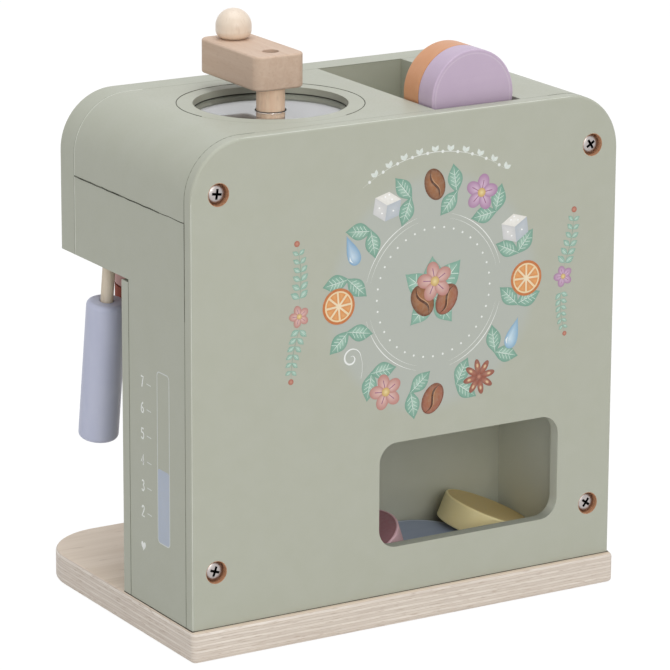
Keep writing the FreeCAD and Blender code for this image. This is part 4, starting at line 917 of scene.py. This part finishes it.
class Page:
    """Flat printed shapes, in millimetres to the right and up, on levels above the paint."""

    def __init__(self):
        self.points, self.faces, self.colours = [], [], []

    def patch(self, outline, middle, rim, level=1.0, heart=None):
        """Fill an outline, shading from its middle to its rim."""
        if heart is None:
            heart = np.mean(np.array(outline), axis=0)
        start = len(self.points)
        self.points.append((float(heart[0]), float(heart[1]), level))
        self.points += [(across, height, level) for across, height in outline]
        self.colours += [linear(middle)] + [linear(rim)] * len(outline)
        following = outline[1:] + outline[:1]
        area = sum(x * next_y - next_x * y for (x, y), (next_x, next_y) in zip(outline, following))
        for step in range(len(outline)):
            first, second = start + 1 + step, start + 1 + (step + 1) % len(outline)
            self.faces.append((start, first, second) if area > 0 else (start, second, first))

    def stroke(self, path, width, colour, level=2.0, closed=False, taper=False):
        """Draw a line of even or tapering width along a path."""
        line = np.array(path, float)
        count, start = len(line), len(self.points)
        for step in range(count):
            before = line[step - 1] if closed or step else line[step]
            after = line[(step + 1) % count] if closed or step < count - 1 else line[step]
            along = after - before
            along = along / max(np.linalg.norm(along), 1e-9)
            side = np.array((-along[1], along[0]))
            half = width / 2
            if taper:
                half *= math.sin(math.pi * min(max(step / (count - 1), 0.06), 0.94))
            for sign in (1, -1):
                spot = line[step] + sign * half * side
                self.points.append((float(spot[0]), float(spot[1]), level))
                self.colours.append(linear(colour))
        for step in range(count if closed else count - 1):
            a, b = start + 2 * step, start + 2 * ((step + 1) % count)
            self.faces.append((a + 1, b + 1, b, a))

    def add(self, other, across=0.0, height=0.0, turn=0.0, size=1.0, lift=0.0):
        """Set another page's shapes on this one: moved, turned, scaled and a film higher."""
        start = len(self.points)
        cosine, sine = on_circle(size, turn)
        for x, y, level in other.points:
            self.points.append((across + x * cosine - y * sine, height + x * sine + y * cosine,
                                level + lift))
        self.colours += other.colours
        self.faces += [tuple(start + corner for corner in face) for face in other.faces]

    def film(self, name, origin, rightward, upward):
        """Lay the page on a surface as a thin closed film of ink."""
        outward = rightward.cross(upward)
        places = [origin + MM * x * rightward + MM * y * upward + LEVEL * level * outward
                  for x, y, level in self.points]
        piece = new_piece(name, places, self.faces, [ink])
        pigment = piece.data.color_attributes.new("ink_colour", "FLOAT_COLOR", "POINT")
        pigment.data.foreach_set("color", [part for colour in self.colours for part in colour])
        thick = piece.modifiers.new("film", "SOLIDIFY")
        thick.thickness = LEVEL * max(point[2] for point in self.points) + FILM
        thick.offset = -1.0
        return settle(piece)

    def print_on(self, name, origin, rightward, upward, body, slot):
        """Print the page on a surface of a body."""
        return hand_over(self.film(name, origin, rightward, upward), body)


def oval(across, height, wide, tall, turn=0.0, count=40):
    """Points of a turned oval."""
    ring = []
    for step in range(count):
        x, y = on_circle(0.5, step * math.tau / count)
        x, y = x * wide, y * tall
        ring.append((across + x * math.cos(turn) - y * math.sin(turn),
                     height + x * math.sin(turn) + y * math.cos(turn)))
    return ring


def soft_box(left, low, right_edge, high, radius, count=8):
    """Points of a rectangle with round corners."""
    ring = []
    for x, y, start in ((right_edge - radius, high - radius, 0), (left + radius, high - radius, 1),
                        (left + radius, low + radius, 2), (right_edge - radius, low + radius, 3)):
        for step in range(count + 1):
            out, rise = on_circle(radius, (start + step / count) * math.pi / 2)
            ring.append((x + out, y + rise))
    return ring


print("ink ready:", ink.name)

# %% [markdown]
# The water gauge is printed on the side: a tall white outline, a lilac-blue fill to about the
# third number, short ticks, the numbers 2 to 7 and a small heart. On the toy the numbers are
# narrow and hand-lettered, so each is drawn as one stroke of a thin pen.

# %% Water gauge
WHITE_INK = "F0F2EF"
NUMBER_MIDDLE, HEART_MIDDLE = 32.8, (32.9, 45.25)
number_heights = {"7": 128.85, "6": 115.85, "5": 102.55, "4": 89.35, "3": 76.15, "2": 63.05}
DIGITS = {
    "2": [(-1.1, 1.5), (-0.8, 2.3), (0.0, 2.7), (0.9, 2.3), (1.1, 1.4), (0.6, 0.2), (-1.2, -2.6),
          (1.3, -2.6)],
    "3": [(-1.0, 2.1), (0.0, 2.7), (0.9, 2.2), (1.0, 1.2), (0.2, 0.3), (1.1, -0.5), (1.2, -1.6),
          (0.4, -2.6), (-0.6, -2.6), (-1.2, -1.9)],
    "4": [(0.6, -2.7), (0.6, 2.7), (-1.4, -1.0), (1.4, -1.0)],
    "5": [(1.1, 2.6), (-0.9, 2.6), (-1.0, 0.4), (0.1, 0.7), (1.1, 0.0), (1.2, -1.4), (0.5, -2.5),
          (-0.5, -2.6), (-1.2, -1.9)],
    "6": [(0.8, 2.6), (-0.4, 1.6), (-1.1, 0.0), (-1.1, -1.6), (-0.3, -2.6), (0.7, -2.5), (1.2, -1.5),
          (0.9, -0.4), (0.0, 0.0), (-0.9, -0.5)],
    "7": [(-1.2, 2.6), (1.2, 2.6), (0.5, 0.6), (-0.3, -2.7)],
}
gauge = Page()
gauge.patch(soft_box(48.1, 51.65, 59.6, 89.0, 1.6), "B7BFCE", "B3BCCC", 1.0)
gauge.stroke(soft_box(47.9, 51.45, 59.8, 137.75, 2.2), 0.55, "D5D8D6", 2.5, closed=True)
for height in number_heights.values():
    gauge.stroke([(37.2, height - 0.2), (39.5, height - 0.3), (41.6, height - 0.4)], 0.5, "DADDD9", 1.5)
heart_shape = []
for step in range(48):
    angle = step * math.tau / 48
    heart_shape.append((HEART_MIDDLE[0] + 0.145 * 16 * math.sin(angle) ** 3,
                        HEART_MIDDLE[1] + 0.165 * (13 * math.cos(angle) - 5 * math.cos(2 * angle)
                                                   - 2 * math.cos(3 * angle) - math.cos(4 * angle))))
gauge.patch(heart_shape, WHITE_INK, WHITE_INK, 1.5, heart=(HEART_MIDDLE[0], HEART_MIDDLE[1] - 0.2))
for digit, height in number_heights.items():
    gauge.stroke([(NUMBER_MIDDLE + x, height + y) for x, y in DIGITS[digit]], 0.85, WHITE_INK, 1.8)
gauge.print_on("water_gauge", Vector((side_face, 0, 0)), Vector((0, 1, 0)), Vector((0, 0, 1)), "body",
               "sage_paint")

# %% [markdown]
# The menu side carries a colourful print. This one is a wreath drawn for the lesson: coffee
# beans, leaves, blossoms, sugar lumps, orange slices and drops, in the soft browns, mauves,
# blues and greens that such toys are printed with. Each motif is drawn once on its own page.

# %% Motifs
RED_BEAN, PINK_BLOSSOM, PALE_LINE = ("9A5E4A", "7A4534"), ("E2BFB8", "B98078"), "EDEFEC"


def bean(body_colour="8A5B3C", rim_colour="6B4029"):
    """A coffee bean with its curved split."""
    page = Page()
    page.patch(oval(0, 0, 9.6, 13.6), "B07C55", rim_colour, 1.0, heart=(-1.6, 2.4))
    page.patch(oval(0.3, -0.3, 8.0, 12.0), "A8734C", body_colour, 1.6, heart=(-1.2, 2.0))
    split = [(1.1 * math.sin(step / 16 * math.tau), -6.2 + 12.4 * step / 16) for step in range(17)]
    page.stroke(split, 1.3, "573220", 2.4, taper=True)
    page.stroke([(x + 0.55, y) for x, y in split[2:15]], 0.35, "C79A74", 3.0, taper=True)
    return page


def leaf(light="A9C9B9", dark="749F8D", fold="93B9A8"):
    """A pointed leaf with a middle vein and side veins."""
    page = Page()
    edge = [(4.3 * math.sin(step / 14 * math.pi) ** 1.2, 15.5 * step / 14) for step in range(15)]
    page.patch(edge + [(-x, y) for x, y in reversed(edge[1:-1])], light, dark, 1.0, heart=(-0.6, 7.0))
    page.patch(edge + [(0.0, 8.0)], fold, dark, 1.5, heart=(1.4, 7.4))
    page.stroke([(0, 0.2 + step * 1.5) for step in range(10)], 0.45, "DDEBE2", 2.3, taper=True)
    for step in range(3, 11, 2):
        for sign in (-1, 1):
            page.stroke([(0, step + 0.5), (sign * 1.5, step + 1.7), (sign * 2.6, step + 2.5)], 0.28,
                        "CFE2D7", 2.3)
    return page


def blossom(light="D9BCD3", dark="A97FA3"):
    """A five-petalled blossom."""
    page = Page()
    for petal in range(5):
        angle = petal * math.tau / 5 + math.pi / 2
        page.patch(oval(*on_circle(4.3, angle), 7.0, 5.6, angle), light, dark, 1.0 + 0.12 * petal,
                   heart=on_circle(2.6, angle))
        page.stroke([on_circle(1.8, angle), on_circle(5.2, angle)], 0.35, "93587F", 2.2)
    page.patch(oval(0, 0, 3.8, 3.8), "EBD79B", "C9A35E", 2.8)
    return page


def sugar():
    """A sugar lump seen from a corner."""
    page = Page()
    page.patch([(0, 5.6), (6.2, 2.8), (0, 0), (-6.2, 2.8)], "F3F1EC", "E9E6E0", 1.0)
    page.patch([(-6.2, 2.8), (0, 0), (0, -6.6), (-6.2, -3.8)], "DDDCDB", "CFCFD0", 1.0)
    page.patch([(0, 0), (6.2, 2.8), (6.2, -3.8), (0, -6.6)], "C6CBD0", "B7BEC6", 1.0)
    for x, y in ((-1.5, 3.4), (1.8, 2.6), (0.2, 4.4), (-3.6, -1.2), (-2.0, -3.3), (3.2, -2.0)):
        page.patch(oval(x, y, 0.9, 0.7, count=8), "FFFFFF", "FFFFFF", 1.8)
    return page


def orange_slice():
    """A round slice of orange."""
    page = Page()
    page.patch(oval(0, 0, 15.0, 15.0), "D98F52", "C4713A", 1.0)
    page.patch(oval(0, 0, 12.8, 12.8), "F1DFC0", "EBD2A8", 1.5)
    for wedge in range(8):
        middle = (wedge + 0.5) * math.tau / 8
        rim = [on_circle(5.7, middle + part) for part in (-0.31, -0.15, 0.0, 0.15, 0.31)]
        page.patch([on_circle(1.1, middle)] + rim, "E5A768", "D98C4C", 2.2)
    return page


def drop(light="CFE3EE", dark="86AECB"):
    """A water drop with a highlight."""
    page = Page()
    outline = []
    for step in range(32):
        angle = step * math.tau / 32
        narrow = math.sin(angle / 2) ** 1.6
        outline.append((4.4 * math.sin(angle) * narrow, 6.8 * math.cos(angle)))
    page.patch(outline, light, dark, 1.0, heart=(-0.8, -3.0))
    page.stroke([(-1.9, -2.2), (-2.3, -3.6), (-1.6, -5.0)], 0.7, "F4FAFC", 2.0, taper=True)
    return page


def spice_star():
    """A star of anise with eight pods."""
    page = Page()
    for pod in range(8):
        angle = pod * math.tau / 8
        page.patch(oval(*on_circle(4.4, angle), 6.6, 2.8, angle), "B5755F", "8C4F40", 1.0 + 0.08 * pod)
        page.patch(oval(*on_circle(4.9, angle), 1.8, 1.1, angle, 14), "E3C9A6", "C9A27A", 2.2)
    page.patch(oval(0, 0, 2.6, 2.6, count=20), "C98F78", "8C4F40", 2.6)
    return page


def steam_curl():
    """A white curl of steam."""
    page = Page()
    path = [on_circle(4.6 * (1 - step / 46), step / 39 * 2.6 * math.pi) for step in range(40)]
    page.stroke([(4.6, -9.0), (5.2, -6.0), (5.2, -2.6)] + path, 0.75, "EFF1EF", 1.6, taper=True)
    return page


motifs = [bean(), blossom(), sugar(), orange_slice(), drop(), spice_star(), bean(*RED_BEAN),
          blossom(*PINK_BLOSSOM), steam_curl(), orange_slice(), drop("C9DCEB", "7FA6C6"), sugar()]
TILTS = (18, -12, 8, 0, -20, 10, -30, 14, 0, 5, 22, -9)
print("motifs drawn:", len(motifs))

# %% [markdown]
# The wreath sets twelve motifs round a circle with a leaf pair between each two. The leaves all
# follow one circle, so they are placed by a Geometry Nodes tree with the number of leaves, the
# circle's radius and the lean as named inputs; the motifs differ, so a page collects them.

# %% Wreath of leaves
def ring_tree():
    """Geometry Nodes: copies of one flat object round a circle, leaning from its line."""
    tree, given = open_tree("copies_round_ring", {
        "Geometry": "Geometry", "Master": "Object", "Count": "Int", "Ring radius": "Float",
        "Start": "Float", "Lean": "Float", "Lean spread": "Float", "Seed": "Int",
        "Finish": "Material"}, "Ring")
    spots = add_node(tree, "GeometryNodePoints", {"Count": given["Count"]})
    number = add_node(tree, "GeometryNodeInputIndex")
    step = add_node(tree, "ShaderNodeMath", {0: math.tau, 1: given["Count"]}, operation="DIVIDE")
    angle = add_node(tree, "ShaderNodeMath", {0: number, 1: step, 2: given["Start"]},
                     operation="MULTIPLY_ADD")
    cosine = add_node(tree, "ShaderNodeMath", {0: angle}, operation="COSINE")
    sine = add_node(tree, "ShaderNodeMath", {0: angle}, operation="SINE")
    flat = add_node(tree, "ShaderNodeCombineXYZ", {0: cosine, 1: sine})
    place = add_node(tree, "ShaderNodeVectorMath", {0: flat, "Scale": given["Ring radius"]},
                     operation="SCALE")
    moved = add_node(tree, "GeometryNodeSetPosition", {"Geometry": spots, "Position": place})
    low, high = (add_node(tree, "ShaderNodeMath", {0: given["Lean"], 1: given["Lean spread"]},
                          operation=operation) for operation in ("SUBTRACT", "ADD"))
    lean = add_node(tree, "FunctionNodeRandomValue", {2: low, 3: high, "Seed": given["Seed"]})
    whole = add_node(tree, "ShaderNodeMath", {0: angle, 1: lean}, operation="ADD")
    about = add_node(tree, "ShaderNodeCombineXYZ", {2: whole})
    rotation = add_node(tree, "FunctionNodeEulerToRotation", {0: about})
    master = add_node(tree, "GeometryNodeObjectInfo", {"Object": given["Master"]})
    ring = add_node(tree, "GeometryNodeInstanceOnPoints", {
        "Points": moved, "Instance": master.outputs["Geometry"], "Rotation": rotation})
    return close_tree(tree, ring, given["Finish"])


ring_copies = ring_tree()
FIRST_RING_SEED, RING_STEP = 7, 2.4


def ring_print(name, page, rings, origin, rightward, upward, body, slot):
    """Repeat a page round one or more rings and lay the result on a surface."""
    master = page.film(name + "_master", Vector(), Vector((1, 0, 0)), Vector((0, 1, 0)))
    to_surface = Matrix((rightward, upward, rightward.cross(upward))).transposed().to_4x4()
    for number, (count, radius, start, lean, spread) in enumerate(rings):
        piece = run_tree(new_piece(f"{name}_{number}", [], []), ring_copies, {
            "Master": master, "Count": count, "Ring radius": radius * MM, "Start": start,
            "Lean": lean, "Lean spread": spread, "Seed": FIRST_RING_SEED + number, "Finish": ink})
        higher = Matrix.Translation(Vector((0, 0, LEVEL * RING_STEP * number)))
        piece.data.transform(Matrix.Translation(origin) @ to_surface @ higher)
        hand_over(piece, body)
    bpy.data.objects.remove(master)


on_menu = (wreath_middle, Vector((-1, 0, 0)), Vector((0, 0, 1)), "body", "sage_paint")
WREATH, HALF_GAP, DOT_COUNT, DOT_RING = 54.0, math.tau / 24, 36, 32.5
ring_print("wreath_leaves", leaf(), [(12, WREATH - 4.5, HALF_GAP, 0.55 - math.pi / 2, 0.16),
                                     (12, WREATH - 2.5, HALF_GAP, math.pi - 0.6 - math.pi / 2, 0.16)],
           *on_menu)

# %% Motifs on the wreath and the middle spray
wreath = Page()
for number, (motif, tilt) in enumerate(zip(motifs, TILTS)):
    angle = math.pi / 2 - number * math.tau / 12
    wreath.add(motif, *on_circle(WREATH, angle), math.radians(tilt), 1.2, lift=5.0)
spray = ((0.9, 1.35), (-0.75, 1.45), (2.35, 1.2), (-2.5, 1.15), (0.05, 1.3))
for number, (turn_angle, size) in enumerate(spray):
    wreath.add(leaf("B4D3C4", "7CA896"), 0.0, -2.0, turn_angle, size, lift=2.4 * number)
wreath.add(bean(), -6.5, -3.5, 0.5, 1.25, lift=12.0)
wreath.add(bean(*RED_BEAN), 7.5, -4.5, -0.55, 1.2, lift=12.2)
wreath.add(blossom(*PINK_BLOSSOM), 0.5, 5.5, 0.2, 1.3, lift=15.5)
for radius, width in ((39.5, 0.45), (37.2, 0.25)):
    for quarter in range(4):
        arc = [on_circle(radius, quarter * math.pi / 2 + 0.25 + part / 30 * 1.07)
               for part in range(31)]
        wreath.stroke(arc, width, PALE_LINE, 1.2, taper=True)
wreath.print_on("menu_wreath", *on_menu)
dots = Page()
dots.patch(oval(0, 0, 1.1, 1.1, count=14), PALE_LINE, PALE_LINE, 1.2)
ring_print("wreath_dots", dots, [(DOT_COUNT, DOT_RING, 0.0, 0.0, 0.0)], *on_menu)

# %% [markdown]
# The print spreads over most of the board, so two upright sprigs stand on each side of the
# wreath and a thin white garland lies over it. A sprig is drawn once, small leaves in pairs on
# a bent stem, and set on the page four times.

# %% Sprigs and garland
STEM_GREEN, GARLAND, GARLAND_REACH = "8FA595", 70.0, 0.62


def sprig():
    """A bent stem with pairs of small leaves and a berry at its tip."""
    page = Page()
    stem = [(2.6 * math.sin(step / 20 * 2.4), 30.0 * step / 20) for step in range(21)]
    page.stroke(stem, 0.5, STEM_GREEN, 1.0, taper=True)
    for number in range(2, 18, 3):
        for sign in (-1, 1):
            page.add(leaf("B7D2C5", "86AD9D"), *stem[number], sign * -0.95, 0.42 - 0.008 * number,
                     lift=0.4 + 0.2 * number + 0.1 * sign)
    page.patch(oval(stem[-1][0], 31.6, 3.2, 3.2, count=20), "C98C78", "A9604E", 6.0)
    return page


around = Page()
for across, height, lean, size in ((-76, 4, 0.10, 0.95), (-75, -6, 3.00, 0.9), (76, 2, -0.14, 0.95),
                                   (75, -8, -2.98, 0.75)):
    around.add(sprig(), across, height, lean, size)
    around.patch(oval(across, height, 0.1, 0.1, count=6), STEM_GREEN, STEM_GREEN, 1.0)
around.add(blossom(*PINK_BLOSSOM), -76, -2.0, 0.3, 0.72, 8.0)
around.add(blossom(), 76, -2.0, 0.3, 0.72, 8.0)
garland_arc = [(GARLAND * math.sin(part), GARLAND * math.cos(part))
               for part in np.linspace(-GARLAND_REACH, GARLAND_REACH, 41)]
around.stroke(garland_arc, 0.35, "E6E9E5", 1.0, taper=True)
for number in range(2, 39, 4):
    around.patch(oval(*garland_arc[number], 1.7, 1.7, count=14), PALE_LINE, "E3E6E2", 1.8)
    x, y = garland_arc[number + 2]
    for sign in (-1, 1):
        around.add(leaf(PALE_LINE, "DDE1DC", "E3E7E2"), x, y,
                   math.atan2(y, x) - math.pi / 2 + sign * 0.5, 0.24, lift=1.2 + 0.2 * sign)
around.print_on("menu_sprigs", *on_menu)

# %% [markdown]
# The pads that lean in the tray have faces in a darker tone than their rims: painted shade where
# the faces look up into the tray. Every pad has a band of another tone near its edge; on the blue,
# lilac and orange pads it is lighter, a painted highlight along the edge. These tones are discs and
# rings of ink. The pads stand and lean at their own angles, so the middle of each face and the way
# it looks are worked out from the pad's own mesh: the thinnest direction of its points is the
# direction of its faces.

# %% Prints on the coffee pads
FACE_DISC, BAND_RING, BAND_WIDTH = 44.6, 43.0, 0.7
# Lighter bands on the blue, lilac and orange pads are painted highlights; on the mauve and yellow pads
# the band is a darker ring at the edge of the shaded face.
PAD_BANDS_AND_EDGE_HIGHLIGHTS = {"mauve": "A4707B", "yellow": "D6BB7C", "blue": "D3DCE9", "lilac": "CDBBCF",
             "orange": "DDA987"}
# Darker face discs: painted shade on the faces that look up into the tray.
PAD_FACE_SHADE = {"mauve": "A97580", "yellow": "DBC183"}


def disc_of(node_name):
    """Give a pad's middle, the direction of its faces and half its thickness."""
    points = np.array([tuple(vertex.co) for vertex in nodes[node_name].data.vertices])
    middle = (points.max(axis=0) + points.min(axis=0)) / 2
    unique = np.unique(np.round(points, 6), axis=0)
    spread = unique - unique.mean(axis=0)
    normal = np.linalg.eigh(spread.T @ spread)[1][:, 0]
    return Vector(middle), Vector(normal), float(np.abs(spread @ normal).max())


for shade, band in PAD_BANDS_AND_EDGE_HIGHLIGHTS.items():
    middle, normal, reach = disc_of(f"pad_{shade}")
    for number, sign in enumerate((1, -1)):
        outward = sign * normal
        rightward = outward.orthogonal().normalized()
        page = Page()
        # The face disc is painted shade; the band is a painted highlight on the lighter-banded pads.
        if shade in PAD_FACE_SHADE:
            page.patch(oval(0, 0, FACE_DISC, FACE_DISC, count=96), *[PAD_FACE_SHADE[shade]] * 2, 0.6)
        page.stroke(oval(0, 0, BAND_RING, BAND_RING, count=96), BAND_WIDTH, band, 1.2, closed=True)
        page.print_on(f"pad_{shade}_print_{number}", middle + reach * outward, rightward,
                      outward.cross(rightward), f"{shade}_pad", f"pad_{shade}_paint")

# %% [markdown]
# Round the brew dial on the cup side a ring of short white ticks shows the settings. It uses the
# same ring tree as the wreath.

# %% Ticks round the dial
TICK_COUNT, TICK_RING = 12, 22.5
tick = Page()
tick.stroke([(0.0, 0.0), (2.0, 0.0), (4.0, 0.0)], 0.8, WHITE_INK, 1.2)
dial_x, _, dial_z = middle_of("brew_dial")
ring_print("dial_ticks", tick, [(TICK_COUNT, TICK_RING, 0.0, 0.0, 0.0)],
           Vector((dial_x, front_face, dial_z)), Vector((1, 0, 0)), Vector((0, 0, 1)), "body",
           "sage_paint")

# %% [markdown]
# Last, the colour management stays plain, so a colour renders about as it is written.

# %% Colour management
bpy.context.scene.view_settings.view_transform = "Standard"
